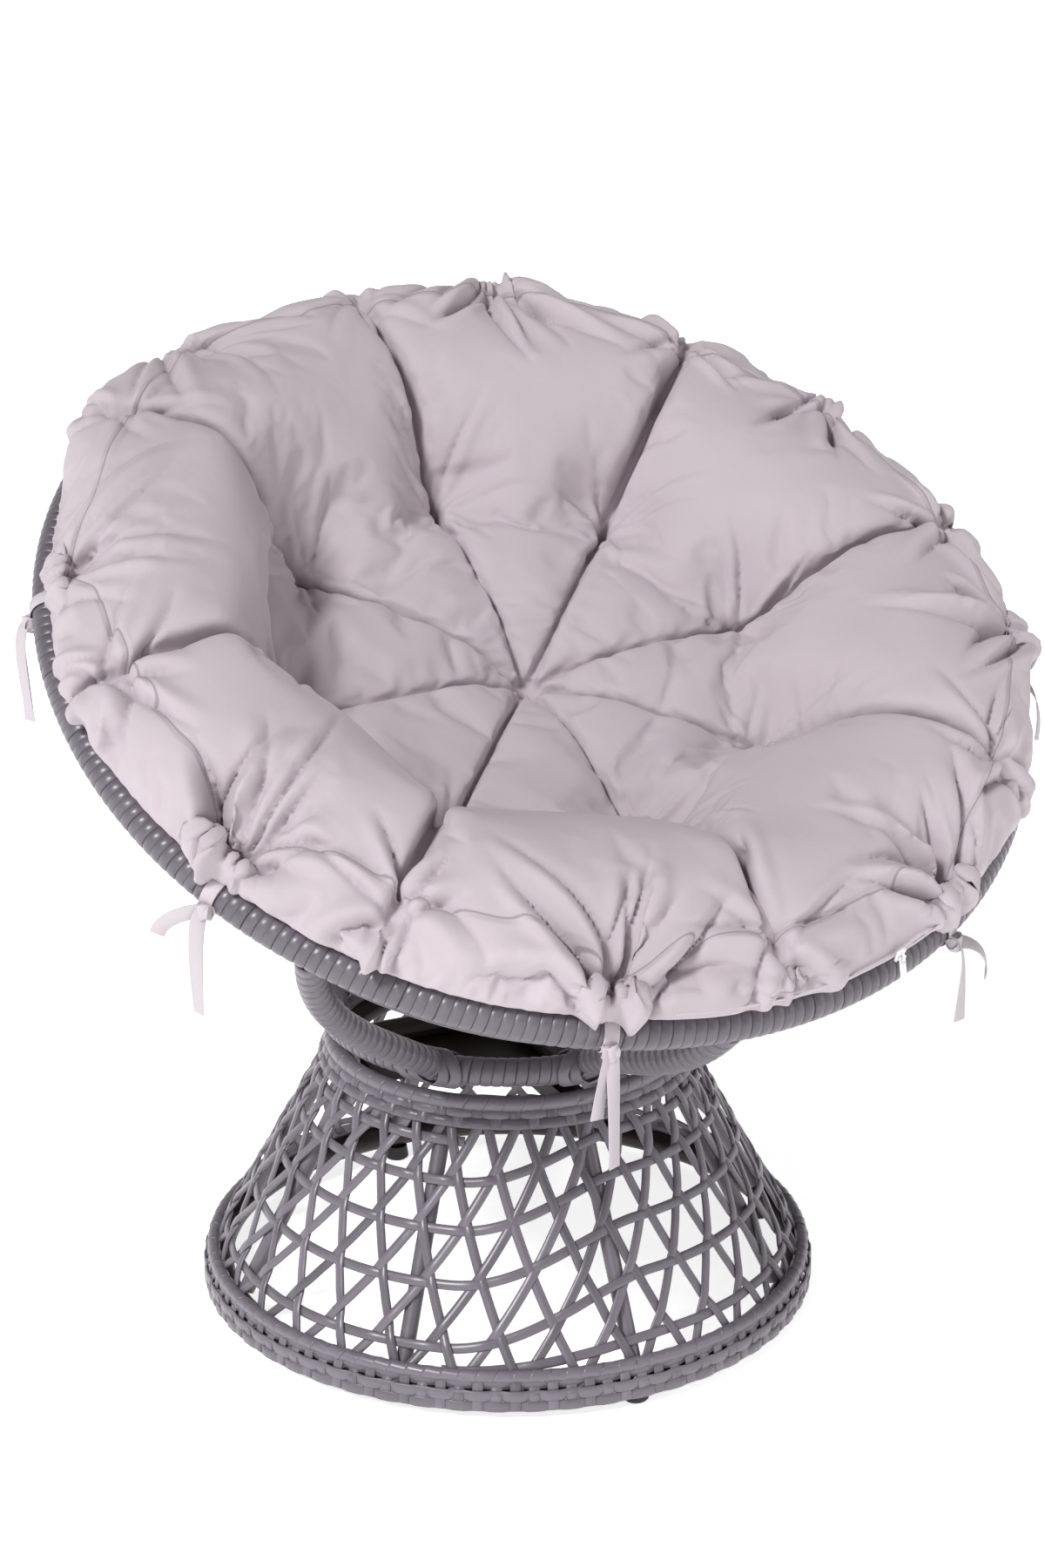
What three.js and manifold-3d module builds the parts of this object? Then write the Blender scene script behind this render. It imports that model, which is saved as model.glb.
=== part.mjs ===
// A round swivel chair: a woven base, a tilted bowl on a ball bearing plate and one tufted cushion.
// Millimetres, +Z up, the sitter faces -Y. Angles round the chair start at the front and grow
// towards +X. The origin is on the floor under the middle of the chair's bounding box.
import * as THREE from 'three';
import { mergeVertices } from 'three/addons/utils/BufferGeometryUtils.js';
import Module from 'manifold-3d';

const wasm = await Module();
wasm.setup();

// Driving dimensions
const seam = 0.3;                       // gap left between pieces that touch
const runGap = 0.2;                     // radial gap of a shaft in its hole
const ballGap = 0.15;                   // play of a ball between the plates
const cutOver = 2;                      // overrun of every cut
const baseTube = 12;                    // radius of the base's ring tubes
const bottomRingRadius = 292;           // centre line of the bottom ring
const topRingRadius = 168;              // centre line of the top ring
const topRingHeight = 252;              // centre line of the top ring above the floor
const footHeight = 14.7;
const footRadius = 13;
const footTopRadius = 11;
const footEdge = 2;                     // bevel round the foot's sole
const legTube = 8;
const borderThick = 5;
const bottomBorderTall = 37;
const bottomBorderLow = 11;             // lower edge of the bottom border above the floor
const topBorderThick = 3.4;
const topBorderTall = 30;               // along the slope of the weave
const strandThick = 3;
const strandWide = 9;
const weftThick = 2.4;
const weftWide = 8;
const weaveLift = 2.4;                  // from the tubes' outer side to the strands' middle
const weftLift = 2.6;                   // from the strands' middle to the weft's inner side
const seatTube = 14;                    // radius of the seat ring and of the ribs
const seatRingRadius = 176;             // centre line of the seat ring
const seatRingDrop = 22;                // free height between the top ring and the seat ring
const rimTube = 17;
const rimRadius = 461;                  // centre line of the rim
const rimHeight = 695;                  // centre of the rim above the floor
const rimForward = 78;                  // centre of the rim in front of the swivel axis
const rimTilt = THREE.MathUtils.degToRad(30);
const crossTube = 12;                   // radius of the seat's cross tubes
const crossBarWide = 25;
const crossBarTall = 20;
const bowlDepth = 240;                  // centre ring of the bowl below the rim's plane
const bowlHoopTube = 5;
const bowlRingRadius = 90;
const bowlRingTube = 5;
const plateSide = 200;
const plateThick = 3;
const plateCorner = 18;                 // corner radius of the swivel plates
const ballRadius = 4;
const ballCircle = 55;
const cageThick = 1.6;
const cageBand = 20;                    // width of the ball cage
const rivetRadius = 6;
const rivetHead = 10;
const rivetHeadThick = 2.4;
const boltCircle = 110;
const boltRadius = 3;
const boltHeadRadius = 5.5;
const boltHeadThick = 4;
const boltGrip = 12;                    // length of the bolt inside the cross tube
const cushionInset = 3;                 // widest point of the boxing band inside the rim's outer side
const cushionCrest = 112;               // top of the roll above the rim's plane
const crestDrop = 50;                   // how much lower the roll is at the cushion's low side
const crestRadius = 362;
const hollowHeight = -18;               // cover near the middle, above the rim's plane
const bandTopHeight = 60;
const bandTopInset = 15;                // upper edge of the boxing band inside its widest point
const bandMidHeight = 39;
const bandDrop = 15;                    // how much lower the band is at the cushion's low side
const bandLowInset = 5;
const cushionSink = 3.2;                // cushion's underside above the middle of the bowl's strands
const tuftCircle = 222;
const centreTuftDepth = 46;
const ringTuftDepth = 34;
const tuftSpread = 46;
const creaseDepth = 18;
const creaseSpread = 20;
const edgeCreaseDepth = 20;
const tieThick = 1.2;
const tieWide = 14;
const tieTail = 100;
const knotThick = 9;
const knotWide = 19;
const knotTall = 17;
const sliderWide = 9;
const sliderTall = 12;
const sliderThick = 2.5;
const crownWide = 1.6;
const crownThick = 1.6;
const crownRise = 3;                    // free height under the slider's crown
const crownSpan = 5;                    // free length under the slider's crown
const pullerWide = 7;
const pullerLong = 27;
const pullerThick = 1.2;
const pullerBar = 2;                    // bar of the puller that lies under the crown
const pullerSlot = 4.6;                 // slot of the puller that the crown passes through

// Counts, turns and shares
const fullTurn = 2 * Math.PI;
const legCount = 8;
const footCount = 4;
const ballCount = 6;
const boltCount = 4;
const tuftCount = 8;
const tieCount = 8;
const baseColumns = 32;
const baseRows = 5;
const baseTurnRight = THREE.MathUtils.degToRad(36);   // turn of the right-leaning strands
const bowlColumns = 20;
const bowlRows = 6;
const bowlTurnRight = THREE.MathUtils.degToRad(54);
const bowlHoopShare = 0.216;            // place of the hoop between the rim and the centre ring
const bowlShoulderShares = [0.932, 0.45];             // first control point, of radius and depth
const bowlFloorShares = [0.64, 0.98];                 // second control point, of radius and depth
const ribTurns = [0, 48, 132, 180, 228, 312].map(THREE.MathUtils.degToRad);
const ribFootTurn = THREE.MathUtils.degToRad(34.5);   // rise of a rib where it leaves the seat ring
const ribHeadTurn = THREE.MathUtils.degToRad(17);     // inward lean of a rib under the rim
const ribFootShare = 0.25;
const ribHeadShare = 0.464;
const riseBend = 2;                     // power that keeps the middle flat and the roll steep
const tuftTurn = THREE.MathUtils.degToRad(4);
const tieTurn = THREE.MathUtils.degToRad(-15);
const zipTurn = THREE.MathUtils.degToRad(19);
const lowSideTurn = THREE.MathUtils.degToRad(148);     // where the cushion lies lower
const weftStepShares = [0.05, 0.13, 0.36, 0.56, 0.74, 0.89];
const weftClimb = THREE.MathUtils.degToRad(45);
const weftStart = THREE.MathUtils.degToRad(-37);
const ringSegments = 40;
const rimSegments = 60;
const tubeSides = 8;
const ribSteps = 8;
const rivetSides = 16;
const boltSides = 6;
const weftSteps = 44;
const cushionSegments = 48;

// Heights and radii that follow from the driving dimensions
const bottomRingHeight = footHeight + seam + baseTube;
const seatRingHeight = topRingHeight + baseTube + seatRingDrop + seatTube;
const lowerPlateHeight = topRingHeight + crossBarTall / 2 + seam;
const ballHeight = lowerPlateHeight + plateThick + ballGap + ballRadius;
const upperPlateHeight = ballHeight + ballRadius + ballGap;
const crossHeight = upperPlateHeight + plateThick + seam + crossTube;
const borderRadius = bottomRingRadius + baseTube + seam;
const cushionRadius = rimRadius + rimTube - cushionInset;
const bandTopRadius = cushionRadius - bandTopInset;
const bandLowRadius = cushionRadius - bandLowInset;

// Materials
const wicker = new THREE.MeshStandardMaterial({ color: 0x76737a, roughness: 0.55, metalness: 0 });
const weave = new THREE.MeshStandardMaterial({ color: 0x7c7980, roughness: 0.5, metalness: 0 });
const darkSteel = new THREE.MeshStandardMaterial({ color: 0x2b2320, roughness: 0.5, metalness: 0.6 });
const brightSteel = new THREE.MeshStandardMaterial({ color: 0xb9bbbe, roughness: 0.3, metalness: 1 });
const cageSteel = new THREE.MeshStandardMaterial({ color: 0x8b8a86, roughness: 0.45, metalness: 0.9 });
const glide = new THREE.MeshStandardMaterial({ color: 0x17161a, roughness: 0.6, metalness: 0 });
const fabric = new THREE.MeshStandardMaterial({ color: 0xc8c0c4, roughness: 0.95, metalness: 0 });
const tape = new THREE.MeshStandardMaterial({ color: 0xe1dce1, roughness: 0.85, metalness: 0 });
const zipMetal = new THREE.MeshStandardMaterial({ color: 0xe6e6e8, roughness: 0.35, metalness: 0.2 });

// Shared helpers
const swivelGroup = new THREE.Group();
const rimGroup = new THREE.Group();
rimGroup.position.set(0, -rimForward, rimHeight);
rimGroup.rotation.x = rimTilt;
rimGroup.updateMatrix();

function piece(name, geometry, material, parent = swivelGroup) {
  const mesh = new THREE.Mesh(geometry, material);
  mesh.name = name;
  parent.add(mesh);
  return mesh;
}

function around(radius, angle, height = 0) {
  return new THREE.Vector3(radius * Math.sin(angle), -radius * Math.cos(angle), height);
}

function solid(geometry) {
  const bare = geometry.index ? geometry.clone() : geometry;
  bare.deleteAttribute('normal');
  bare.deleteAttribute('uv');
  const merged = mergeVertices(bare);
  return new wasm.Manifold(new wasm.Mesh({
    numProp: 3,
    vertProperties: new Float32Array(merged.attributes.position.array),
    triVerts: new Uint32Array(merged.index.array),
  }));
}

function fromSolid(body) {
  const mesh = body.getMesh();
  return indexed(mesh.vertProperties, Array.from(mesh.triVerts));
}

function indexed(numbers, triangles) {
  const geometry = new THREE.BufferGeometry();
  geometry.setAttribute('position', new THREE.Float32BufferAttribute(numbers, 3));
  geometry.setIndex(triangles);
  geometry.computeVertexNormals();
  return geometry;
}

function upright(radius, length, low, sides) {
  const cylinder = new THREE.CylinderGeometry(radius, radius, length, sides);
  return cylinder.rotateX(Math.PI / 2).translate(0, 0, low + length / 2);
}

function box(wide, deep, tall, low) {
  return new THREE.BoxGeometry(wide, deep, tall).translate(0, 0, low + tall / 2);
}

function ringTube(radius, tube, height, segments) {
  return new THREE.TorusGeometry(radius, tube, tubeSides, segments).translate(0, 0, height);
}

function straightTube(from, to, radius, sides) {
  const span = to.clone().sub(from);
  const tube = new THREE.CylinderGeometry(radius, radius, span.length(), sides);
  const turn = new THREE.Quaternion().setFromUnitVectors(new THREE.Vector3(0, 1, 0), span.normalize());
  const middle = from.clone().lerp(to, 1 / 2);
  return tube.applyQuaternion(turn).translate(middle.x, middle.y, middle.z);
}

// Sections of four or three corners joined into one closed strip
function strip(sections) {
  const corners = sections[0].length;
  const numbers = sections.flat().flatMap((point) => point.toArray());
  const triangles = [];
  for (let i = 0; i + 1 < sections.length; i += 1) {
    for (let k = 0; k < corners; k += 1) {
      const a = i * corners + k;
      const b = i * corners + (k + 1) % corners;
      triangles.push(a, b, b + corners, a, b + corners, a + corners);
    }
  }
  const last = (sections.length - 1) * corners;
  for (let k = 1; k + 1 < corners; k += 1) {
    triangles.push(0, k + 1, k, last, last + k, last + k + 1);
  }
  return indexed(numbers, triangles);
}

// Base surface through the middle of both ring tubes
const baseNetLift = legTube + weaveLift;
const baseLow = new THREE.Vector2(bottomRingRadius, bottomRingHeight);
const baseHigh = new THREE.Vector2(topRingRadius, topRingHeight);
const baseRun = baseHigh.clone().sub(baseLow);
const baseSlant = baseRun.length();
const baseSlope = baseRun.clone().divideScalar(baseSlant);

function baseProfile(share, lift) {
  const along = baseLow.clone().lerp(baseHigh, share);
  return along.add(new THREE.Vector2(lift * baseSlope.y, -lift * baseSlope.x));
}

function basePoint(angle, share, lift) {
  const place = baseProfile(share, lift);
  return around(place.x, angle, place.y);
}

// Bowl surface, a dish that turns about the rim's axis and hangs inside the rim
const bowlEdgeRadius = (rimRadius - rimTube) * Math.cos(Math.PI / rimSegments) - seam - strandThick / 2;
const bowlCurve = new THREE.CubicBezierCurve(
  new THREE.Vector2(bowlEdgeRadius, 0),
  new THREE.Vector2(bowlEdgeRadius * bowlShoulderShares[0], -bowlDepth * bowlShoulderShares[1]),
  new THREE.Vector2(bowlEdgeRadius * bowlFloorShares[0], -bowlDepth * bowlFloorShares[1]),
  new THREE.Vector2(bowlRingRadius, -bowlDepth),
);
const bowlLength = bowlCurve.getLength();
const bowlNetShare = 1 - (bowlRingTube + 2 * seam) / bowlLength;

function bowlProfile(share, lift) {
  const way = bowlCurve.getTangentAt(share);
  return bowlCurve.getPointAt(share).add(new THREE.Vector2(-way.y, way.x).multiplyScalar(lift));
}

function bowlPoint(angle, share, lift) {
  const place = bowlProfile((1 - share) * bowlNetShare, lift);
  return around(place.x, angle, place.y);
}

// An open net of two sets of slanting strands, fused where they cross
function net(shape) {
  const { columns, rows, turnRight, point, lift, radiusAt, length } = shape;
  const pitch = fullTurn / columns;
  const turnLeft = rows * pitch - turnRight;
  const half = strandWide / 2;
  const numbers = [];
  const triangles = [];
  const corner = (column, row, place) => {
    const inside = ((column % columns) + columns) % columns;
    return 8 * (row * columns + inside) + place;
  };
  for (let row = 0; row <= rows; row += 1) {
    for (let column = 0; column < columns; column += 1) {
      const share = row / rows;
      const angle = column * pitch + turnRight * share;
      const radius = radiusAt(share);
      const right = new THREE.Vector2(radius * turnRight, length).normalize();
      const left = new THREE.Vector2(-radius * turnLeft, length).normalize();
      const reach = half / Math.abs(right.cross(left));
      const up = right.clone().add(left).multiplyScalar(reach);
      const side = right.clone().sub(left).multiplyScalar(reach);
      const offsets = [up.clone().negate(), side, up, side.clone().negate()];
      if (row === 0) offsets[0].set(0, 0);
      if (row === rows) offsets[2].set(0, 0);
      for (const depth of [1, -1]) {
        for (const offset of offsets) {
          const level = THREE.MathUtils.clamp(share + offset.y / length, 0, 1);
          const place = point(angle + offset.x / radius, level, lift + depth * strandThick / 2);
          numbers.push(...place.toArray());
        }
      }
    }
  }
  // Corner places: 0 low, 1 right, 2 high, 3 left, and the same plus four on the inner side
  const sheet = (a, b, c, d) => {
    triangles.push(a, b, c, a, c, d);
    triangles.push(a + 4, c + 4, b + 4, a + 4, d + 4, c + 4);
  };
  const wall = (a, b) => triangles.push(b, a, a + 4, b, a + 4, b + 4);
  for (let row = 0; row <= rows; row += 1) {
    for (let column = 0; column < columns; column += 1) {
      const at = (place) => corner(column, row, place);
      sheet(at(0), at(1), at(2), at(3));
      if (row === 0) {
        wall(at(3), at(0));
        wall(at(0), at(1));
      }
      if (row === rows) {
        wall(at(1), at(2));
        wall(at(2), at(3));
        continue;
      }
      const rightUp = (place) => corner(column, row + 1, place);
      const leftUp = (place) => corner(column - 1, row + 1, place);
      sheet(at(1), rightUp(0), rightUp(3), at(2));
      wall(at(1), rightUp(0));
      wall(rightUp(3), at(2));
      sheet(at(2), leftUp(1), leftUp(0), at(3));
      wall(at(2), leftUp(1));
      wall(leftUp(0), at(3));
    }
  }
  return indexed(numbers, triangles);
}

// One strand that winds round the base and climbs a level in each turn
function windingStrand(levels, start, lift) {
  const sections = [];
  const halfShare = weftWide / 2 / baseSlant;
  const total = (levels.length - 1) * weftSteps;
  for (let i = 0; i <= total; i += 1) {
    const turn = i / weftSteps;
    const level = Math.min(Math.floor(turn), levels.length - 2);
    const climb = THREE.MathUtils.smoothstep((turn - level) * fullTurn, 0, weftClimb);
    const share = THREE.MathUtils.lerp(levels[level], levels[level + 1], climb);
    const angle = start + turn * fullTurn;
    sections.push([
      basePoint(angle, share - halfShare, lift),
      basePoint(angle, share + halfShare, lift),
      basePoint(angle, share, lift + weftThick),
    ]);
  }
  return strip(sections);
}

// Base frame: two ring tubes, their woven borders, legs and feet
function buildBaseFrame() {
  piece('base_bottom_ring', ringTube(bottomRingRadius, baseTube, bottomRingHeight, ringSegments), darkSteel);
  piece('base_top_ring', ringTube(topRingRadius, baseTube, topRingHeight, ringSegments), darkSteel);
  const border = (corners) => {
    const outline = [...corners, corners[0]];
    return new THREE.LatheGeometry(outline, ringSegments).rotateX(Math.PI / 2);
  };
  const bottomBorderHigh = bottomBorderLow + bottomBorderTall;
  piece('base_bottom_border', border([
    new THREE.Vector2(borderRadius, bottomBorderLow),
    new THREE.Vector2(borderRadius + borderThick, bottomBorderLow),
    new THREE.Vector2(borderRadius + borderThick, bottomBorderHigh),
    new THREE.Vector2(borderRadius, bottomBorderHigh),
  ]), weave);
  const facetRoom = topRingRadius * (1 - Math.cos(Math.PI / ringSegments));
  const innerLift = Math.max(baseTube, baseNetLift + strandThick / 2) + seam + facetRoom;
  const halfShare = topBorderTall / 2 / baseSlant;
  piece('base_top_border', border([
    baseProfile(1 - halfShare, innerLift),
    baseProfile(1 - halfShare, innerLift + topBorderThick),
    baseProfile(1 + halfShare, innerLift + topBorderThick),
    baseProfile(1 + halfShare, innerLift),
  ]), weave);
  const endShare = (baseTube + seam) / baseSlant;
  for (let i = 0; i < legCount; i += 1) {
    const angle = i * fullTurn / legCount;
    const low = basePoint(angle, endShare, 0);
    const high = basePoint(angle, 1 - endShare, 0);
    const leg = straightTube(low, high, legTube, tubeSides);
    piece(`base_leg_${i + 1}`, leg, wicker);
  }
  for (let i = 0; i < footCount; i += 1) {
    const foot = new THREE.LatheGeometry([
      new THREE.Vector2(0, 0),
      new THREE.Vector2(footRadius - footEdge, 0),
      new THREE.Vector2(footRadius, footEdge),
      new THREE.Vector2(footTopRadius, footHeight),
      new THREE.Vector2(0, footHeight),
    ], 16).rotateX(Math.PI / 2);
    piece(`foot_${i + 1}`, foot, glide).position.copy(around(bottomRingRadius, i * fullTurn / footCount));
  }
}

// Base weave: the net lies outside the legs, the winding strand outside the net
function buildBaseWeave() {
  const stop = Math.sqrt(Math.max((baseTube + seam + strandThick / 2) ** 2 - baseNetLift ** 2, 0));
  const inset = (stop + seam) / baseSlant;
  const inner = (share) => THREE.MathUtils.lerp(inset, 1 - inset, share);
  piece('base_weave', net({
    columns: baseColumns,
    rows: baseRows,
    turnRight: baseTurnRight,
    lift: baseNetLift,
    point: (angle, share, lift) => basePoint(angle, inner(share), lift),
    radiusAt: (share) => THREE.MathUtils.lerp(bottomRingRadius, topRingRadius, share),
    length: baseSlant * (1 - 2 * inset),
  }), weave);
  piece('base_weft', windingStrand(weftStepShares, weftStart, baseNetLift + weftLift), weave);
}

// Swivel: cross bars, two plates, a ball cage and a rivet
const rivetCut = rivetHead + seam;

function buildSwivelBase() {
  const ringInner = (topRingRadius - baseTube) * Math.cos(Math.PI / ringSegments) - seam;
  const reach = Math.sqrt(ringInner ** 2 - (crossBarWide / 2) ** 2);
  const low = topRingHeight - crossBarTall / 2;
  const bars = solid(box(2 * reach, crossBarWide, crossBarTall, low))
    .add(solid(box(crossBarWide, 2 * reach, crossBarTall, low)))
    .subtract(solid(upright(rivetCut, crossBarTall + 2 * cutOver, low - cutOver, 16)));
  piece('base_cross_bars', fromSolid(bars), darkSteel);
  piece('swivel_lower_plate', plate(lowerPlateHeight, false), darkSteel);
  const headLow = lowerPlateHeight - seam - rivetHeadThick;
  const shankTop = upperPlateHeight + plateThick + seam;
  piece('swivel_rivet', new THREE.LatheGeometry([
    new THREE.Vector2(0, headLow),
    new THREE.Vector2(rivetHead, headLow),
    new THREE.Vector2(rivetHead, headLow + rivetHeadThick),
    new THREE.Vector2(rivetRadius, headLow + rivetHeadThick),
    new THREE.Vector2(rivetRadius, shankTop),
    new THREE.Vector2(rivetHead, shankTop),
    new THREE.Vector2(rivetHead, shankTop + rivetHeadThick),
    new THREE.Vector2(0, shankTop + rivetHeadThick),
  ], rivetSides).rotateX(Math.PI / 2), brightSteel);
}

// A square plate with round corners that point to the cross tubes
function plate(low, drilled) {
  const half = plateSide / 2;
  const outline = new THREE.Shape();
  for (let i = 0; i < 4; i += 1) {
    outline.absarc(
      (half - plateCorner) * (i === 0 || i === 3 ? 1 : -1),
      (half - plateCorner) * (i < 2 ? 1 : -1),
      plateCorner, i * Math.PI / 2, (i + 1) * Math.PI / 2, false,
    );
  }
  const hole = (x, y, radius, sides) => {
    const centre = new THREE.Vector2(x, y);
    const reach = radius / Math.cos(Math.PI / sides);
    const corner = (k) => new THREE.Vector2(x + reach, y).rotateAround(centre, -k * fullTurn / sides);
    outline.holes.push(new THREE.Path(Array.from({ length: sides }, (_, k) => corner(k))));
  };
  hole(0, 0, rivetRadius + runGap, rivetSides);
  for (let i = 0; drilled && i < boltCount; i += 1) {
    const angle = Math.PI / 4 + i * fullTurn / boltCount;
    hole(boltCircle * Math.cos(angle), boltCircle * Math.sin(angle), boltRadius + seam, boltSides);
  }
  const settings = { depth: plateThick, bevelEnabled: false, curveSegments: 4 };
  const body = new THREE.ExtrudeGeometry(outline, settings);
  return body.rotateZ(Math.PI / 4).translate(0, 0, low);
}

function buildBallCage() {
  const inner = ballCircle - cageBand / 2;
  const low = ballHeight - cageThick / 2;
  let cage = solid(upright(ballCircle + cageBand / 2, cageThick, low, 24));
  cage = cage.subtract(solid(upright(inner, cageThick + 2 * cutOver, low - cutOver, 24)));
  const pocket = upright(ballRadius + seam, cageThick + 2 * cutOver, low - cutOver, 12);
  for (let i = 0; i < ballCount; i += 1) {
    const centre = around(ballCircle, i * fullTurn / ballCount, ballHeight);
    cage = cage.subtract(solid(pocket.clone().translate(centre.x, centre.y, 0)));
    const ball = new THREE.SphereGeometry(ballRadius, 10, 6).rotateX(Math.PI / 2);
    piece(`ball_${i + 1}`, ball, brightSteel).position.copy(centre);
  }
  piece('ball_cage', fromSolid(cage), cageSteel);
}

function buildSeatCross() {
  piece('swivel_upper_plate', plate(upperPlateHeight, true), darkSteel);
  const reach = (seatRingRadius - seatTube) * Math.cos(Math.PI / rimSegments) - seam;
  const end = (x, y) => new THREE.Vector3(x, y, crossHeight);
  let cross = solid(straightTube(end(-reach, 0), end(reach, 0), crossTube, 12));
  cross = cross.add(solid(straightTube(end(0, -reach), end(0, reach), crossTube, 12)));
  const plateTop = upperPlateHeight + plateThick;
  const headRoom = rivetHeadThick + 2 * seam + cutOver;
  cross = cross.subtract(solid(upright(rivetCut, headRoom, plateTop + seam - cutOver, 16)));
  for (let i = 0; i < boltCount; i += 1) {
    const place = around(boltCircle, i * fullTurn / boltCount);
    const drill = upright(boltRadius + seam, boltGrip + seam + cutOver, plateTop + seam - cutOver, 8);
    cross = cross.subtract(solid(drill.translate(place.x, place.y, 0)));
    const headLow = upperPlateHeight - seam - boltHeadThick;
    const bolt = new THREE.LatheGeometry([
      new THREE.Vector2(0, headLow),
      new THREE.Vector2(boltHeadRadius, headLow),
      new THREE.Vector2(boltHeadRadius, headLow + boltHeadThick),
      new THREE.Vector2(boltRadius, headLow + boltHeadThick),
      new THREE.Vector2(boltRadius, plateTop + boltGrip - cutOver),
      new THREE.Vector2(0, plateTop + boltGrip - cutOver),
    ], boltSides).rotateX(Math.PI / 2);
    piece(`seat_bolt_${i + 1}`, bolt, brightSteel).position.copy(place);
  }
  piece('seat_cross_tubes', fromSolid(cross), wicker);
}

// The flat end of a rib stands on the facets of the ring tube that it meets
function ribEnd(middle, way, tube, turn) {
  const facet = fullTurn / tubeSides;
  const off = turn - facet * Math.round(turn / facet);
  return middle.clone().addScaledVector(way, tube * Math.cos(off) + seam);
}

// Seat frame: ring, rim and the ribs that bow out from the ring and rise to the rim
function buildSeatFrame() {
  piece('seat_ring', ringTube(seatRingRadius, seatTube, seatRingHeight, rimSegments), wicker);
  piece('rim', ringTube(rimRadius, rimTube, 0, rimSegments), wicker, rimGroup);
  const round = new THREE.Shape().absarc(0, 0, seatTube, 0, fullTurn, false);
  ribTurns.forEach((angle, i) => {
    const low = around(seatRingRadius, angle, seatRingHeight);
    const high = around(rimRadius, angle).applyMatrix4(rimGroup.matrix);
    const footWay = around(Math.cos(ribFootTurn), angle, Math.sin(ribFootTurn));
    const headWay = around(-Math.sin(ribHeadTurn), angle, -Math.cos(ribHeadTurn));
    headWay.transformDirection(rimGroup.matrix);
    const length = low.distanceTo(high);
    const path = new THREE.CubicBezierCurve3(
      ribEnd(low, footWay, seatTube, ribFootTurn),
      low.clone().addScaledVector(footWay, ribFootShare * length),
      high.clone().addScaledVector(headWay, ribHeadShare * length),
      ribEnd(high, headWay, rimTube, ribHeadTurn),
    );
    const settings = { steps: ribSteps, extrudePath: path, curveSegments: tubeSides / 2 };
    const rib = new THREE.ExtrudeGeometry(round, settings);
    piece(`seat_rib_${i + 1}`, rib, wicker);
  });
}

// Bowl: a net between the rim and a centre ring, and a smooth hoop outside the net
function buildBowl() {
  piece('bowl_weave', net({
    columns: bowlColumns,
    rows: bowlRows,
    turnRight: bowlTurnRight,
    lift: 0,
    point: bowlPoint,
    radiusAt: (share) => bowlProfile((1 - share) * bowlNetShare, 0).x,
    length: bowlLength * bowlNetShare,
  }), weave, rimGroup);
  const hoopAt = bowlProfile(bowlHoopShare, strandThick / 2 + 2 * seam + bowlHoopTube);
  const hoop = new THREE.TorusGeometry(hoopAt.x, bowlHoopTube, 6, rimSegments);
  piece('bowl_hoop', hoop.translate(0, 0, hoopAt.y), weave, rimGroup);
  const centre = new THREE.TorusGeometry(bowlRingRadius, bowlRingTube, 6, 24).translate(0, 0, -bowlDepth);
  piece('bowl_centre_ring', centre, weave, rimGroup);
}

// Cushion: a round body with a high roll, a hollow middle, tufts, creases and a boxing band
const bandLowHeight = rimTube + tieThick + 3 * seam;

const tuftAngle = (i) => tuftTurn + i * fullTurn / tuftCount;
const tufts = Array.from({ length: tuftCount }, (_, i) => around(tuftCircle, tuftAngle(i)));

function creaseAt(point, from, to) {
  const nearest = new THREE.Line3(from, to).closestPointToPoint(point, true, new THREE.Vector3());
  return Math.exp(-((nearest.distanceTo(point) / creaseSpread) ** 2));
}

// 1 at the side where the cushion lies lower, 0 on the half away from it
function lowness(point) {
  const nearness = around(1, lowSideTurn).dot(point) / Math.max(point.length(), seam);
  return THREE.MathUtils.smoothstep(nearness, 0, 1);
}

function cushionTop(point) {
  const radius = point.length();
  const middle = new THREE.Vector3();
  const crest = cushionCrest - crestDrop * lowness(point);
  const riseShare = Math.min(radius / crestRadius, 1) ** riseBend;
  let height = THREE.MathUtils.lerp(hollowHeight, crest, (1 - Math.cos(Math.PI * riseShare)) / 2);
  if (radius > crestRadius) {
    const fallShare = (radius - crestRadius) / (bandTopRadius - crestRadius);
    height = THREE.MathUtils.lerp(crest, bandTopHeight - bandDrop * lowness(point), fallShare ** 2);
  }
  height -= centreTuftDepth * Math.exp(-((radius / tuftSpread) ** 2));
  let crease = 0;
  let edgeCrease = 0;
  tufts.forEach((tuft) => {
    height -= ringTuftDepth * Math.exp(-((point.distanceTo(tuft) / tuftSpread) ** 2));
    crease = Math.max(crease, creaseAt(point, middle, tuft));
    edgeCrease = Math.max(edgeCrease, creaseAt(point, tuft, tuft.clone().setLength(bandTopRadius)));
  });
  const fade = 1 - THREE.MathUtils.smoothstep(radius, crestRadius, bandTopRadius);
  return height - creaseDepth * crease * fade - edgeCreaseDepth * edgeCrease * fade;
}

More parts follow.
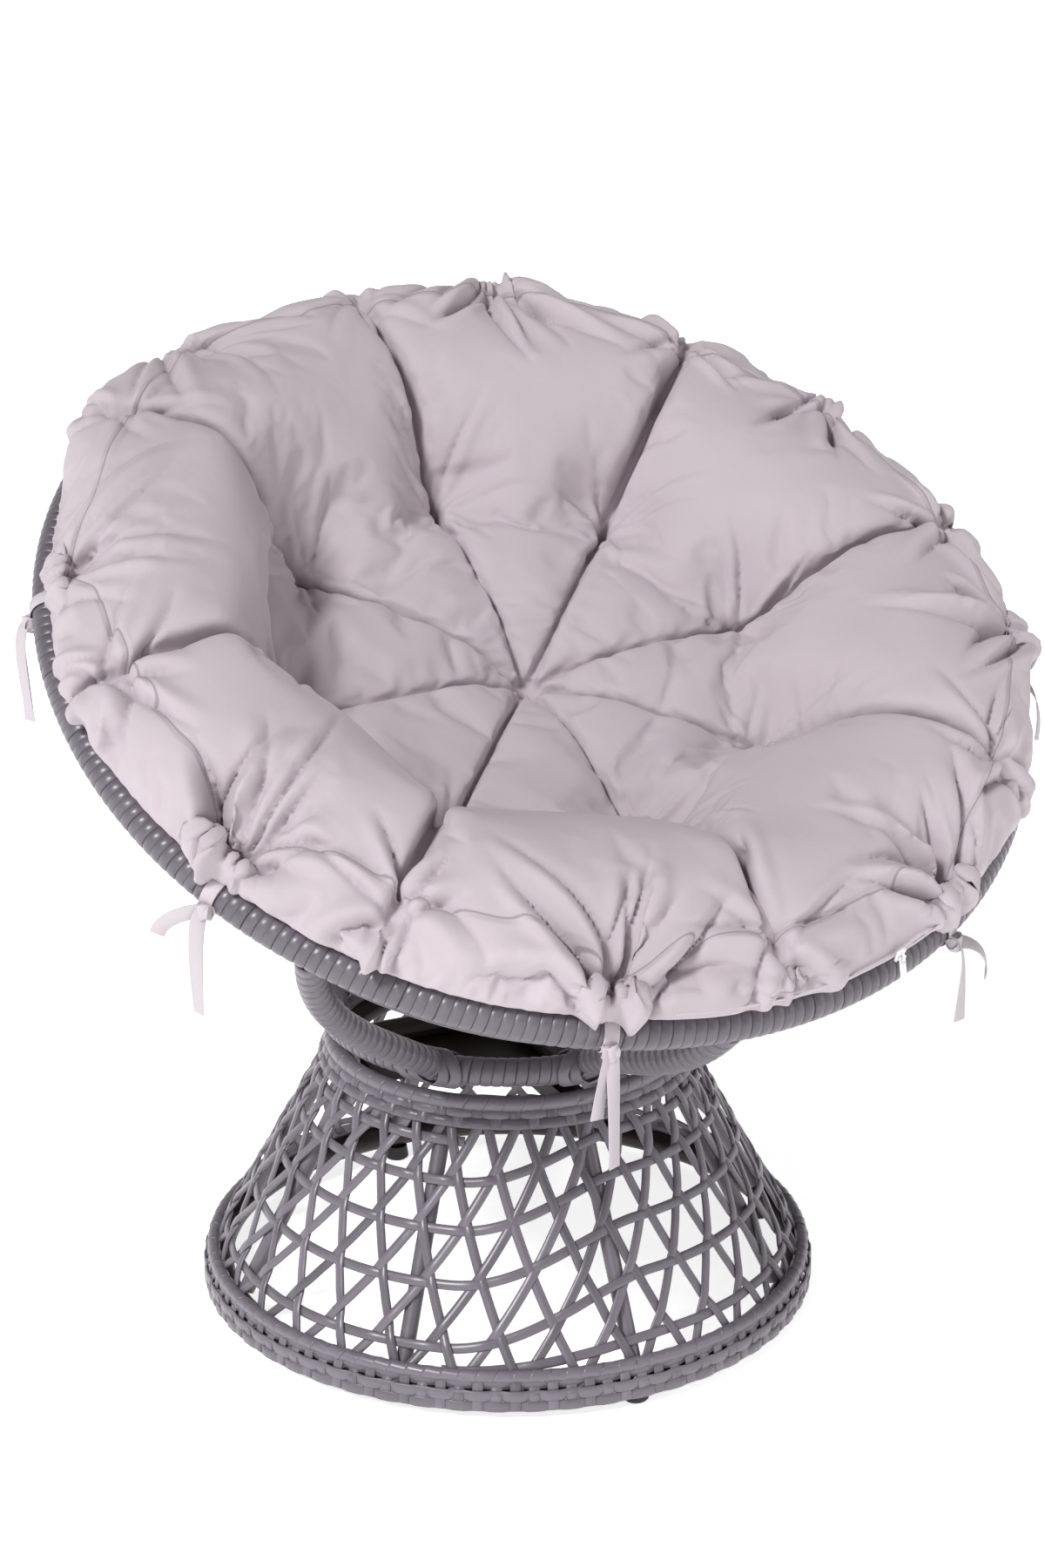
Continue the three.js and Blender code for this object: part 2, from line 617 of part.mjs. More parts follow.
function buildCushion() {
  const topShares = [0.09, 0.18, 0.27, 0.36, 0.43, 0.5, 0.57, 0.65, 0.73, 0.8, 0.87, 0.94, 1];
  const bowlUnder = (_, i) => bowlProfile(bowlNetShare * (i + 1) / bowlRows, -cushionSink).toArray();
  const under = [
    [bandLowRadius, bandLowHeight],
    [rimRadius - rimTube / 2, bandLowHeight - seam],
    [rimRadius - rimTube - 2 * cushionSink, rimTube / 3],
    ...Array.from({ length: bowlRows }, bowlUnder),
    [bowlRingRadius, bowlRingTube + cushionSink - bowlDepth],
  ];
  const rings = topShares.map((share) => (angle) => {
    const place = around(share * bandTopRadius, angle);
    return place.setZ(cushionTop(place));
  });
  rings.push((angle) => {
    const place = around(cushionRadius, angle);
    return place.setZ(bandMidHeight - bandDrop * lowness(place));
  });
  under.forEach(([radius, height]) => rings.push((angle) => around(radius, angle, height)));
  const numbers = [];
  for (const ring of rings) {
    for (let i = 0; i < cushionSegments; i += 1) {
      numbers.push(...ring(tuftTurn + i * fullTurn / cushionSegments).toArray());
    }
  }
  const top = numbers.length / 3;
  numbers.push(0, 0, cushionTop(new THREE.Vector3()), 0, 0, under[under.length - 1][1]);
  const triangles = [];
  const at = (ring, i) => ring * cushionSegments + i % cushionSegments;
  for (let i = 0; i < cushionSegments; i += 1) {
    triangles.push(top, at(0, i), at(0, i + 1));
    triangles.push(top + 1, at(rings.length - 1, i + 1), at(rings.length - 1, i));
    for (let ring = 0; ring + 1 < rings.length; ring += 1) {
      triangles.push(at(ring, i), at(ring + 1, i), at(ring + 1, i + 1));
      triangles.push(at(ring, i), at(ring + 1, i + 1), at(ring, i + 1));
    }
  }
  piece('cushion', indexed(numbers, triangles), fabric, rimGroup);
}

// Ties: each tape lies over the rim, is knotted at the outer side and hangs down
function buildTies() {
  const down = new THREE.Vector3(0, 0, -1);
  const radius = rimTube + seam + tieThick / 2;
  for (let i = 0; i < tieCount; i += 1) {
    const angle = tieTurn + i * fullTurn / tieCount;
    const along = around(1, angle + Math.PI / 2).transformDirection(rimGroup.matrix);
    const outward = around(1, angle).transformDirection(rimGroup.matrix);
    const top = new THREE.Vector3(0, 0, 1).transformDirection(rimGroup.matrix);
    const centre = around(rimRadius, angle).applyMatrix4(rimGroup.matrix);
    const level = along.clone().setZ(0).normalize();
    const aside = new THREE.Vector3().crossVectors(level, down).normalize();
    if (aside.dot(outward) < 0) aside.negate();
    const sections = [];
    const section = (middle, across, normal, wide, thick) => {
      const side = across.clone().multiplyScalar(wide / 2);
      const face = normal.clone().multiplyScalar(thick / 2);
      sections.push([
        middle.clone().sub(side).sub(face), middle.clone().add(side).sub(face),
        middle.clone().add(side).add(face), middle.clone().sub(side).add(face),
      ]);
    };
    const stopTurn = Math.atan2(-aside.dot(top), aside.dot(outward));
    const arcSteps = 7;
    const startTurn = THREE.MathUtils.degToRad(-100);
    for (let k = 0; k <= arcSteps; k += 1) {
      const turn = THREE.MathUtils.lerp(startTurn, stopTurn, k / arcSteps);
      const normal = outward.clone().multiplyScalar(Math.cos(turn)).addScaledVector(top, -Math.sin(turn));
      section(centre.clone().addScaledVector(normal, radius), along, normal, tieWide, tieThick);
    }
    const hang = centre.clone().addScaledVector(aside, rimTube + seam + knotThick / 2 + tieThick);
    const drop = (length) => hang.clone().addScaledVector(down, length);
    section(drop(knotTall / 4), level, aside, knotWide, knotThick);
    section(drop(knotTall), level, aside, knotWide, knotThick);
    section(drop(knotTall + tieThick), level, aside, tieWide, tieThick);
    section(drop(knotTall + tieTail), level, aside, tieWide, tieThick);
    piece(`tie_${i + 1}`, strip(sections), tape);
  }
}

// Zip: a slider on the boxing band and a puller that hangs from its crown
const zipGroup = new THREE.Group();
const pullerLift = cushionRadius + seam + sliderThick + crownRise / 2;

function buildZip() {
  zipGroup.position.copy(around(0, 0, bandMidHeight));
  zipGroup.rotation.z = zipTurn;
  rimGroup.add(zipGroup);
  const face = -(cushionRadius + seam);
  const block = (wide, thick, tall, out, up) => new THREE.BoxGeometry(wide, thick, tall)
    .translate(0, face - out - thick / 2, up);
  const crownTall = crownSpan + 2 * crownThick;
  const slider = solid(block(sliderWide, sliderThick, sliderTall, 0, 0))
    .add(solid(block(crownWide, crownRise + crownThick + seam, crownTall, sliderThick - seam, 0)))
    .subtract(solid(block(crownWide + 2 * cutOver, crownRise, crownSpan, sliderThick, 0)));
  piece('zip_slider', fromSolid(slider), zipMetal, zipGroup);
  const slotWide = crownWide + 4 * runGap + pullerThick;
  const puller = solid(new THREE.BoxGeometry(pullerWide, pullerThick, pullerLong)
    .translate(0, 0, pullerBar / 2 - pullerLong / 2))
    .subtract(solid(new THREE.BoxGeometry(slotWide, pullerThick + 2 * cutOver, pullerSlot)
      .translate(0, 0, -pullerBar / 2 - pullerSlot / 2)));
  const mesh = piece('zip_puller', fromSolid(puller), zipMetal, zipGroup);
  mesh.position.set(0, -pullerLift, 0);
  mesh.rotation.x = -pullerLean();
}

// Lean that lets the puller hang straight down in the tilted band
function pullerLean() {
  const outward = around(1, zipTurn).transformDirection(rimGroup.matrix);
  const top = new THREE.Vector3(0, 0, 1).transformDirection(rimGroup.matrix);
  return Math.atan2(-outward.z, top.z);
}

buildBaseFrame();
buildBaseWeave();
buildSwivelBase();
buildBallCage();
buildSeatCross();
buildSeatFrame();
buildBowl();
buildCushion();
buildTies();
buildZip();

// The origin goes under the middle of the bounding box
swivelGroup.add(rimGroup);
const chair = new THREE.Group();
chair.add(swivelGroup);
chair.updateMatrixWorld(true);
const extent = new THREE.Box3().setFromObject(chair, true);
const middle = extent.getCenter(new THREE.Vector3());
swivelGroup.position.set(-middle.x, -middle.y, -extent.min.z);
chair.updateMatrixWorld(true);

export default chair;
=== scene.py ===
"""Round swivel lounge chair: woven base, wound tube frame, tilted bowl and tufted cushion."""
import math
import random

import bpy
import numpy as np
from bpy.props import FloatProperty, FloatVectorProperty, IntProperty, PointerProperty
from mathutils import Matrix, Vector


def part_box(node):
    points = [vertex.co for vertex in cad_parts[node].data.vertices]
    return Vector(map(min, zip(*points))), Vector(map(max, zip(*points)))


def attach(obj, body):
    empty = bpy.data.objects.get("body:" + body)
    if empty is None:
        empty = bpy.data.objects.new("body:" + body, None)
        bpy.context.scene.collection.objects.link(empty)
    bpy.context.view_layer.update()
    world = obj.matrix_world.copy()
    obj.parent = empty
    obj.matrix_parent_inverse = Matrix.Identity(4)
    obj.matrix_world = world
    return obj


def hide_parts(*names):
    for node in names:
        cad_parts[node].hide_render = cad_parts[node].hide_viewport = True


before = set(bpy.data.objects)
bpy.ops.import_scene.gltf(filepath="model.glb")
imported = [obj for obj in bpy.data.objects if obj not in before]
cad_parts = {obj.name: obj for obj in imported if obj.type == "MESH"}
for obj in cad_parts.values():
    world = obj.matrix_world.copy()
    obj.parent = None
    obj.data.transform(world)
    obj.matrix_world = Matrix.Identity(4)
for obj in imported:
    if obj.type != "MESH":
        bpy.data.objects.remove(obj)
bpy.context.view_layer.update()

bl_info = {
    "name": "Round swivel lounge chair",
    "version": (1, 0, 0),
    "blender": (4, 5, 0),
    "location": "3D View > Sidebar > Chair",
    "description": "Dresses a round swivel chair with wound and woven cane, a tufted cushion and its ties",
    "category": "Add Mesh",
}

TURN = 2 * math.pi
UP = Vector((0, 0, 1))

# The seat turns about the rivet; the rim's plane leans back from it
rivet_low, rivet_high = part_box("swivel_rivet")
AXIS_Y = (rivet_low.y + rivet_high.y) / 2
RIM_TILT = math.radians(30)
RIM_CENTRE = Vector((0, AXIS_Y - 0.078, 0.695))
RIM = Matrix.Translation(RIM_CENTRE) @ Matrix.Rotation(RIM_TILT, 4, "X")

# Radii of the frame's circles and tubes, in metres
RIM_RADIUS, RIM_TUBE = 0.461, 0.017
SEAT_RADIUS, SEAT_TUBE, SEAT_HEIGHT = 0.176, 0.014, 0.300
BASE_TUBE, LEG_TUBE = 0.012, 0.008

# The base's cone, from (radius, height) of the lower ring to that of the upper one
BASE_LOW, BASE_HIGH = Vector((0.292, 0.027)), Vector((0.168, 0.252))
BASE_RUN, BASE_SLANT = (BASE_HIGH - BASE_LOW).normalized(), (BASE_HIGH - BASE_LOW).length
# Its weave: how far outside the cone, strands each way, rows, and how far round a right strand goes
BASE_LIFT, BASE_COLUMNS, BASE_ROWS, BASE_RIGHT = 0.0104, 32, 5, math.radians(36)
# Shares of the height that the winding strand keeps to, one a turn, and how it climbs between them
WEFT_LEVELS = (0.05, 0.13, 0.36, 0.56, 0.74, 0.89)
WEFT_START, WEFT_CLIMB = math.radians(-37), math.radians(45)

# Ribs: places round the seat ring, and the slopes at which they leave it and reach the rim
RIB_TURNS = [math.radians(a) for a in (0, 48, 132, 180, 228, 312)]
RIB_FOOT, RIB_HEAD = math.radians(34.5), math.radians(17)

# The bowl below the rim's plane, and its weave
BOWL_EDGE, BOWL_DEPTH, BOWL_RING = 0.4406, 0.240, 0.090
BOWL_COLUMNS, BOWL_ROWS, BOWL_RIGHT = 20, 6, math.radians(54)

# The cushion: radii of its boxing band and crest, its tufts and ties, and the turns of its uneven places
BAND_TOP, BAND_LOW, CREST_RADIUS = 0.460, 0.470, 0.365
TUFTS, TUFT_TURN = 8, math.radians(4)
TIES, TIE_TURN = 8, math.radians(-15)
LOW_SIDE, FULL_SIDE = math.radians(148), math.radians(288)
CORNER, TUCK = math.radians(222), math.radians(247)


# What a user would change
def metres(name, text, value, low=0.0, high=1.0):
    return FloatProperty(name=name, description=text, default=value, min=low, max=high, unit="LENGTH")


def number(name, text, value, low, high, kind=FloatProperty):
    return kind(name=name, description=text, default=value, min=low, max=high)


def colour(name, text, value):
    return FloatVectorProperty(name=name, description=text, default=value, size=3, min=0, max=1,
                               subtype="COLOR")


class ChairCane(bpy.types.PropertyGroup):
    wrap_pitch: metres("Wrap pitch", "Distance from one turn of wound cane to the next", 0.0105)
    wrap_thick: metres("Wrap thickness", "Thickness of the wound cane", 0.0032)
    strand_wide: metres("Strand width", "Width of a woven strand", 0.0096)
    strand_thick: metres("Strand thickness", "Thickness of a woven strand", 0.0034)
    row_tall: metres("Border row", "Height of one row of a woven border", 0.0118)
    hump_pitch: metres("Rolled edge pitch", "Distance from one turn of a rolled edge to the next", 0.021)
    sides: number("Sides", "Sides of a cane's section", 8, 4, 16, IntProperty)


class ChairCushion(bpy.types.PropertyGroup):
    crest: metres("Roll height", "Top of the roll above the rim's plane", 0.100)
    hollow: metres("Middle height", "Cover near the middle above the rim's plane", -0.028, -0.1)
    centre_depth: metres("Centre tuft", "Depth of the centre tuft", 0.036)
    ring_depth: metres("Ring tufts", "Depth of the tufts round the middle", 0.032)
    tuft_circle: metres("Tuft circle", "Radius of the circle of tufts", 0.222)
    tuft_spread: metres("Tuft width", "Distance over which a tuft pulls the cover down", 0.046)
    crease: metres("Creases", "Depth of the creases to the middle", 0.014)
    edge_crease: metres("Edge creases", "Depth of the creases from the tufts to the edge", 0.036)
    crease_wide: metres("Crease width", "Distance over which a crease pulls the cover down", 0.009)
    gather: metres("Gathers", "Depth to which a tie pulls the edge down", 0.022)
    fullness: number("Fullness", "Share by which the cover is larger than its shape", 0.055, 0, 0.3)
    frames: number("Frames", "Length of the simulation in frames", 20, 2, 60, IntProperty)
    pressure: number("Filling", "Pressure of the filling on the cover", 4.0, 0, 30)
    voxel: metres("Cover grain", "Size of the cloth's cells in the simulation", 0.006, 0.002)
    reach: metres("Swell limit", "Furthest that the filling may move the cover", 0.026)


class ChairFinish(bpy.types.PropertyGroup):
    cane: colour("Cane", "Colour of the resin cane", (0.134, 0.117, 0.142))
    cloth: colour("Cover", "Colour of the cushion's cover", (0.472, 0.413, 0.446))
    tape: colour("Tape", "Colour of the ties", (0.50, 0.455, 0.485))
    steel: colour("Dark steel", "Colour of the coated steel", (0.022, 0.014, 0.012))
    bright: colour("Bright steel", "Colour of the zinc plated steel", (0.62, 0.63, 0.65))
    glide: colour("Glides", "Colour of the feet", (0.012, 0.012, 0.014))
    zip: colour("Zip", "Colour of the zip slider", (0.82, 0.82, 0.83))
    floor: colour("Floor", "Colour of the floor", (0.93, 0.93, 0.93))


GROUPS = {"chair_cane": ChairCane, "chair_cushion": ChairCushion, "chair_finish": ChairFinish}


# Places on the chair. Angles start at the front and grow towards +X.
def outward(angle):
    return Vector((math.sin(angle), -math.cos(angle), 0))


def axis_point(radius, angle, height):
    return Vector((radius * math.sin(angle), AXIS_Y - radius * math.cos(angle), height))


def rim_point(radius, angle, height=0.0):
    return RIM @ Vector((radius * math.sin(angle), -radius * math.cos(angle), height))


def rim_way(across, angle, up=0.0):
    way = Vector((across * math.sin(angle), -across * math.cos(angle), up))
    return (RIM.to_3x3() @ way).normalized()


def base_point(angle, share, lift):
    """Point on the base's cone at a share of its slant, lifted outwards from it."""
    place = BASE_LOW.lerp(BASE_HIGH, share) + Vector((BASE_RUN.y, -BASE_RUN.x)) * lift
    return axis_point(place.x, angle, place.y)


def base_out(angle):
    return Vector((BASE_RUN.y * math.sin(angle), -BASE_RUN.y * math.cos(angle), -BASE_RUN.x))


def bezier(points, t):
    u = 1 - t
    a, b, c, d = points
    return a * u ** 3 + b * (3 * u * u * t) + c * (3 * u * t * t) + d * t ** 3


BOWL_CURVE = [Vector(p) for p in (
    (BOWL_EDGE, 0), (BOWL_EDGE * 0.932, -BOWL_DEPTH * 0.45),
    (BOWL_EDGE * 0.64, -BOWL_DEPTH * 0.98), (BOWL_RING, -BOWL_DEPTH))]
bowl_samples = [bezier(BOWL_CURVE, i / 200) for i in range(201)]
bowl_steps = [(b - a).length for a, b in zip(bowl_samples, bowl_samples[1:])]
BOWL_RUNS = np.concatenate([[0], np.cumsum(bowl_steps)])
BOWL_LENGTH = float(BOWL_RUNS[-1])


def bowl_profile(share, lift=0.0):
    """Point and outward direction of the bowl's section at a share of its length below the rim."""
    t = float(np.interp(share * BOWL_LENGTH, BOWL_RUNS, np.linspace(0, 1, len(BOWL_RUNS))))
    step = 1e-3
    way = (bezier(BOWL_CURVE, min(t + step, 1)) - bezier(BOWL_CURVE, max(t - step, 0))).normalized()
    out = Vector((-way.y, way.x))
    return bezier(BOWL_CURVE, t) + out * lift, out


# Kinds of piece: body, slot and finish
WOUND, WOUND_LEG = ("seat", "wrapped_tube", "cane"), ("base", "wrapped_tube", "cane")
# The bowl's pieces take a darker copy of the cane: painted shade for the cane that lies under the cushion.
WOVEN, WOVEN_BOWL = ("base", "woven_cane", "cane"), ("seat", "woven_cane", "shaded_cane")
BARE, TAPE = ("base", "dark_steel", "steel"), ("seat", "tie_tape", "tape")


# Paths: each is (points, the directions that its flat side looks in, closed)
def path(pairs, closed=False):
    line, looks = zip(*pairs)
    return line, looks, closed


def circle(count, point_at, out_at):
    return path(((point_at(a), out_at(a)) for a in (TURN * k / count for k in range(count))), True)


def winding(centre, ways, sides, radius, pitch, per_turn=22, closed=False, wobble=0.0, seed=3):
    """A strand wound round a tube; centre are its points, ways and sides two directions across it."""
    rng = random.Random(seed)
    line, ways, sides = (np.array([tuple(v) for v in vectors]) for vectors in (centre, ways, sides))
    runs = np.concatenate([[0], np.cumsum(np.linalg.norm(np.diff(line, axis=0), axis=1))])
    turns = runs[-1] / pitch
    turns = round(turns) if closed else turns
    count = int(turns * per_turn)
    jitter = np.array([rng.uniform(-wobble, wobble) for _ in range(int(turns) + 2)])

    def places():
        for i in range(count if closed else count + 1):
            turn = i / per_turn
            run = turn / turns * runs[-1] + float(np.interp(turn, range(len(jitter)), jitter))
            run = min(max(run, 0), runs[-1])
            middle, way, side = (np.array([np.interp(run, runs, a[:, k]) for k in range(3)])
                                 for a in (line, ways, sides))
            look = math.cos(turn * TURN) * way + math.sin(turn * TURN) * side
            look /= np.linalg.norm(look)
            yield Vector(middle + radius * look), Vector(look)

    return path(places(), closed)


def ring_winding(point_at, out_at, up, pitch, tube, steps=240, **options):
    """A strand wound round a tube that is bent to a closed ring."""
    angles = [TURN * i / steps for i in range(steps + 1)]
    return winding([point_at(a) for a in angles], [out_at(a) for a in angles], [up] * (steps + 1),
                   tube, pitch, closed=True, **options)


def tube_line(points):
    """A bent line and two directions across it, carried along it without twist."""
    line = [Vector(p) for p in points]
    ways = [(b - a).normalized() for a, b in zip(line, line[1:])]
    ways.append(ways[-1])
    across = ways[0].orthogonal().normalized()
    acrosses, sides = [], []
    for way in ways:
        across = (across - way * across.dot(way)).normalized()
        acrosses.append(across)
        sides.append(way.cross(across))
    return line, acrosses, sides


# Node trees
def put(tree, socket, value):
    """Links a value that another node makes, or sets a plain one."""
    if isinstance(value, bpy.types.NodeSocket):
        tree.links.new(value, socket)
    else:
        socket.default_value = value


def node(tree, kind, *values, **settings):
    """A node: values go to its first inputs, settings to the input or the property of that name."""
    made = tree.nodes.new(kind)
    for key, value in settings.items():
        name = key.replace("_", " ")
        if name in made.inputs:
            put(tree, made.inputs[name], value)
        else:
            setattr(made, key, value)
    for socket, value in zip(made.inputs, values):
        put(tree, socket, value)
    return made


def maths(tree, kind, *values):
    return node(tree, "ShaderNodeMath", *values, operation=kind).outputs[0]


def sweep_tree():
    """Node tree that sweeps a rounded section along paths, its flat side towards 'out'."""
    tree = bpy.data.node_groups.get("cane_sweep")
    if tree:
        return tree
    tree = bpy.data.node_groups.new("cane_sweep", "GeometryNodeTree")
    for name, kind, value in (("Paths", "Geometry", None), ("Width", "Float", 0.009),
                              ("Thickness", "Float", 0.003), ("Squareness", "Float", 0.7),
                              ("Sides", "Int", 8), ("Material", "Material", None)):
        socket = tree.interface.new_socket(name, in_out="INPUT", socket_type="NodeSocket" + kind)
        if value is not None:
            socket.default_value = value
    tree.interface.new_socket("Cane", in_out="OUTPUT", socket_type="NodeSocketGeometry")
    given = node(tree, "NodeGroupInput").outputs

    def geometry(kind, *values, **settings):
        return node(tree, "GeometryNode" + kind, *values, **settings).outputs[0]

    def shaped(value, size):
        power = maths(tree, "POWER", maths(tree, "ABSOLUTE", value), given["Squareness"])
        signed = maths(tree, "MULTIPLY", power, maths(tree, "SIGN", value))
        return maths(tree, "MULTIPLY", signed, maths(tree, "MULTIPLY", size, 0.5))

    x, y, _ = node(tree, "ShaderNodeSeparateXYZ", geometry("InputPosition")).outputs
    corner = node(tree, "ShaderNodeCombineXYZ", shaped(x, given["Thickness"]), shaped(y, given["Width"]))
    section = geometry("CurvePrimitiveCircle", Resolution=given["Sides"], Radius=1)
    section = geometry("SetPosition", Geometry=section, Position=corner.outputs[0])
    section = geometry("StoreNamedAttribute", Geometry=section, Name="across", Value=y)
    out = geometry("InputNamedAttribute", data_type="FLOAT_VECTOR", Name="out")
    lines = geometry("MeshToCurve", Mesh=given["Paths"])
    lines = geometry("SetCurveNormal", mode="FREE", Curve=lines, Normal=out)
    strands = geometry("CurveToMesh", Curve=lines, Profile_Curve=section, Fill_Caps=True)
    real = geometry("RealizeInstances", strands)
    node(tree, "NodeGroupOutput", geometry("SetMaterial", Geometry=real, Material=given["Material"]))
    return tree


# Pieces
def add_object(name, data):
    made = bpy.data.objects.new(name, data)
    bpy.context.scene.collection.objects.link(made)
    return made


def settle(piece):
    """Turns what the modifiers make into the piece's own mesh."""
    graph = bpy.context.evaluated_depsgraph_get()
    mesh = bpy.data.meshes.new_from_object(piece.evaluated_get(graph))
    piece.modifiers.clear()
    old = piece.data
    piece.data = mesh
    bpy.data.meshes.remove(old)
    mesh.name = piece.name


def fit(piece, body, slot, replaced):
    piece.data.shade_smooth()
    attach(piece, body)
    if replaced:
        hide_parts(*replaced)
    return piece


def cane(name, paths, kind, wide, thick, squareness, sides=None, replaced=(), seed=1):
    """A piece swept along paths; kind is (body, slot, finish).

    'along' and 'shade' tell the material how far along a strand a point is, and on which strand."""
    rng = random.Random(seed)
    body, slot, finish = kind
    points, outs, edges, along, shade = [], [], [], [], []
    for line, looks, closed in paths:
        first, tone, run = len(points), rng.random(), rng.random()
        for i, (point, look) in enumerate(zip(line, looks)):
            if i:
                run += (point - line[i - 1]).length
                edges.append((first + i - 1, first + i))
            points.append(point)
            outs.append(look)
            along.append(run)
            shade.append(tone)
        if closed:
            edges.append((len(points) - 1, first))
    mesh = bpy.data.meshes.new(name)
    mesh.from_pydata(points, edges, [])
    for key, values in (("out", outs), ("along", along), ("shade", shade)):
        vector = key == "out"
        data = mesh.attributes.new(key, "FLOAT_VECTOR" if vector else "FLOAT", "POINT").data
        data.foreach_set("vector" if vector else "value", np.array(values, np.float32).ravel())
    piece = add_object(name, mesh)
    sweep = piece.modifiers.new("sweep", "NODES")
    sweep.node_group = sweep_tree()
    values = {"Width": wide, "Thickness": thick, "Squareness": squareness, "Material": finish_of(finish),
              "Sides": sides or bpy.context.scene.chair_cane.sides}
    for item in sweep.node_group.interface.items_tree:
        if item.name in values and item.in_out == "INPUT":
            sweep[item.identifier] = values[item.name]
    settle(piece)
    return fit(piece, body, slot, replaced)


# Materials
def shader(name):
    """A new material, its tree, and a function that sets or links sockets of its shader."""
    material = bpy.data.materials.new(name)
    material.use_nodes = True
    tree = material.node_tree

    def give(**values):
        for key, value in values.items():
            put(tree, tree.nodes["Principled BSDF"].inputs[key.replace("_", " ")], value)

    return material, tree, give


def ramp(tree, source, stops):
    made = node(tree, "ShaderNodeValToRGB", source)
    while len(made.color_ramp.elements) < len(stops):
        made.color_ramp.elements.new(0.5)
    for element, (place, tone) in zip(made.color_ramp.elements, stops):
        element.position = place
        element.color = (*tone, 1)
    return made.outputs["Color"]


def tones(base, *factors):
    return [tuple(min(c * f, 1) for c in base) for f in factors]


def attribute(tree, name):
    return node(tree, "ShaderNodeAttribute", attribute_name=name).outputs["Fac"]


def object_place(tree):
    return node(tree, "ShaderNodeTexCoord").outputs["Object"]


def mapping(tree, place, **settings):
    return node(tree, "ShaderNodeMapping", Vector=place, **settings).outputs[0]


def noise(tree, place, scale, detail=2.0, **settings):
    return node(tree, "ShaderNodeTexNoise", Vector=place, Scale=scale, Detail=detail,
                **settings).outputs["Fac"]


def remap(tree, value, **settings):
    return node(tree, "ShaderNodeMapRange", value, **settings).outputs[0]


def falloff(tree, value, near, far):
    """1 where the value is below near, 0 where it is past far."""
    return remap(tree, value, interpolation_type="SMOOTHSTEP", From_Min=near, From_Max=far,
                 To_Min=1.0, To_Max=0.0)


def bump(tree, height, strength, distance, **under):
    return node(tree, "ShaderNodeBump", Height=height, Strength=strength, Distance=distance,
                **under).outputs[0]


def cane_material(name, base, dark=1.0):
    """Resin cane: long fine streaks, a slight change of tone from strand to strand, satin gloss; dark below
    1 makes a darker copy, which is painted shade.
    """
    material, tree, give = shader(name)
    shade = attribute(tree, "shade")
    strand = node(tree, "ShaderNodeCombineXYZ", attribute(tree, "along"), attribute(tree, "across"), shade)
    streaks = noise(tree, mapping(tree, strand.outputs[0], Scale=(25, 5, 40)), 1.0, 4.0, Roughness=0.6)
    clouds = noise(tree, object_place(tree), 14.0, 3.0)
    mixed = maths(tree, "ADD", maths(tree, "ADD", streaks, clouds), shade)
    # dark scales every tone; below 1 it paints shade into the colour.
    low, middle, high = tones(base, 0.72 * dark, 1.0 * dark, 1.22 * dark)
    stops = [(0.3, low), (0.62, middle), (0.95, high)]
    give(Base_Color=ramp(tree, maths(tree, "MULTIPLY", mixed, 0.45), stops),
         Roughness=remap(tree, streaks, To_Min=0.26, To_Max=0.4), Normal=bump(tree, streaks, 0.22, 0.0006))
    return material


def seam_distance(tree, place):
    """Distance from the boxing seam, which runs round the roll and dips at each tie."""
    local = mapping(tree, place, vector_type="TEXTURE", Location=RIM_CENTRE, Rotation=(RIM_TILT, 0, 0))
    x, y, z = node(tree, "ShaderNodeSeparateXYZ", local).outputs
    squares = maths(tree, "ADD", maths(tree, "MULTIPLY", x, x), maths(tree, "MULTIPLY", y, y))
    angle = maths(tree, "ARCTAN2", x, maths(tree, "MULTIPLY", y, -1.0))
    from_tie = maths(tree, "MULTIPLY", maths(tree, "SUBTRACT", angle, TIE_TURN), float(TIES))
    dip = maths(tree, "POWER", maths(tree, "MULTIPLY_ADD", maths(tree, "COSINE", from_tie), 0.5, 0.5), 8.0)
    waver = maths(tree, "MULTIPLY_ADD", noise(tree, local, 9.0), 0.016, 0.423)
    line = maths(tree, "MULTIPLY_ADD", dip, 0.020, waver)
    far = maths(tree, "ABSOLUTE", maths(tree, "SUBTRACT", maths(tree, "SQRT", squares), line))
    return maths(tree, "ADD", far, falloff(tree, z, 0.020, 0.026))


def cloth_material(name, base):
    """Plain woven cover: crossing threads, fine creasing, the boxing seam and a faint change of tone."""
    material, tree, give = shader(name)
    place = object_place(tree)

    def threads(lean):
        turned = mapping(tree, place, Rotation=(0.6, 0.2, lean))
        return node(tree, "ShaderNodeTexWave", turned, Scale=330.0, Distortion=1.2, Detail=2.0,
                    bands_direction="X").outputs["Fac"]

    weave = maths(tree, "ADD", threads(0.8), threads(0.8 + math.pi / 2))
    crumple = noise(tree, place, 22.0, 3.0, Roughness=0.5, Distortion=0.6)
    seam = seam_distance(tree, place)
    low, middle, high, dark = tones(base, 0.95, 1.0, 1.04, 0.3)
    stops = [(0.3, low), (0.5, middle), (0.75, high)]
    stitch = maths(tree, "MULTIPLY", falloff(tree, seam, 0.0003, 0.0012), 0.55)
    sewn = node(tree, "ShaderNodeMix", stitch, data_type="RGBA")
    put(tree, sewn.inputs[6], ramp(tree, noise(tree, place, 5.0, 4.0), stops))
    put(tree, sewn.inputs[7], (*dark, 1))
    groove = maths(tree, "MULTIPLY", falloff(tree, seam, 0.0, 0.005), -1.0)
    creased = bump(tree, crumple, 0.24, 0.004, Normal=bump(tree, weave, 0.10, 0.0003))
    give(Base_Color=sewn.outputs[2], Normal=bump(tree, groove, 0.7, 0.0025, Normal=creased),
         Roughness=0.88, Sheen_Weight=0.15, Sheen_Roughness=0.5, Specular_IOR_Level=0.25)
    return material


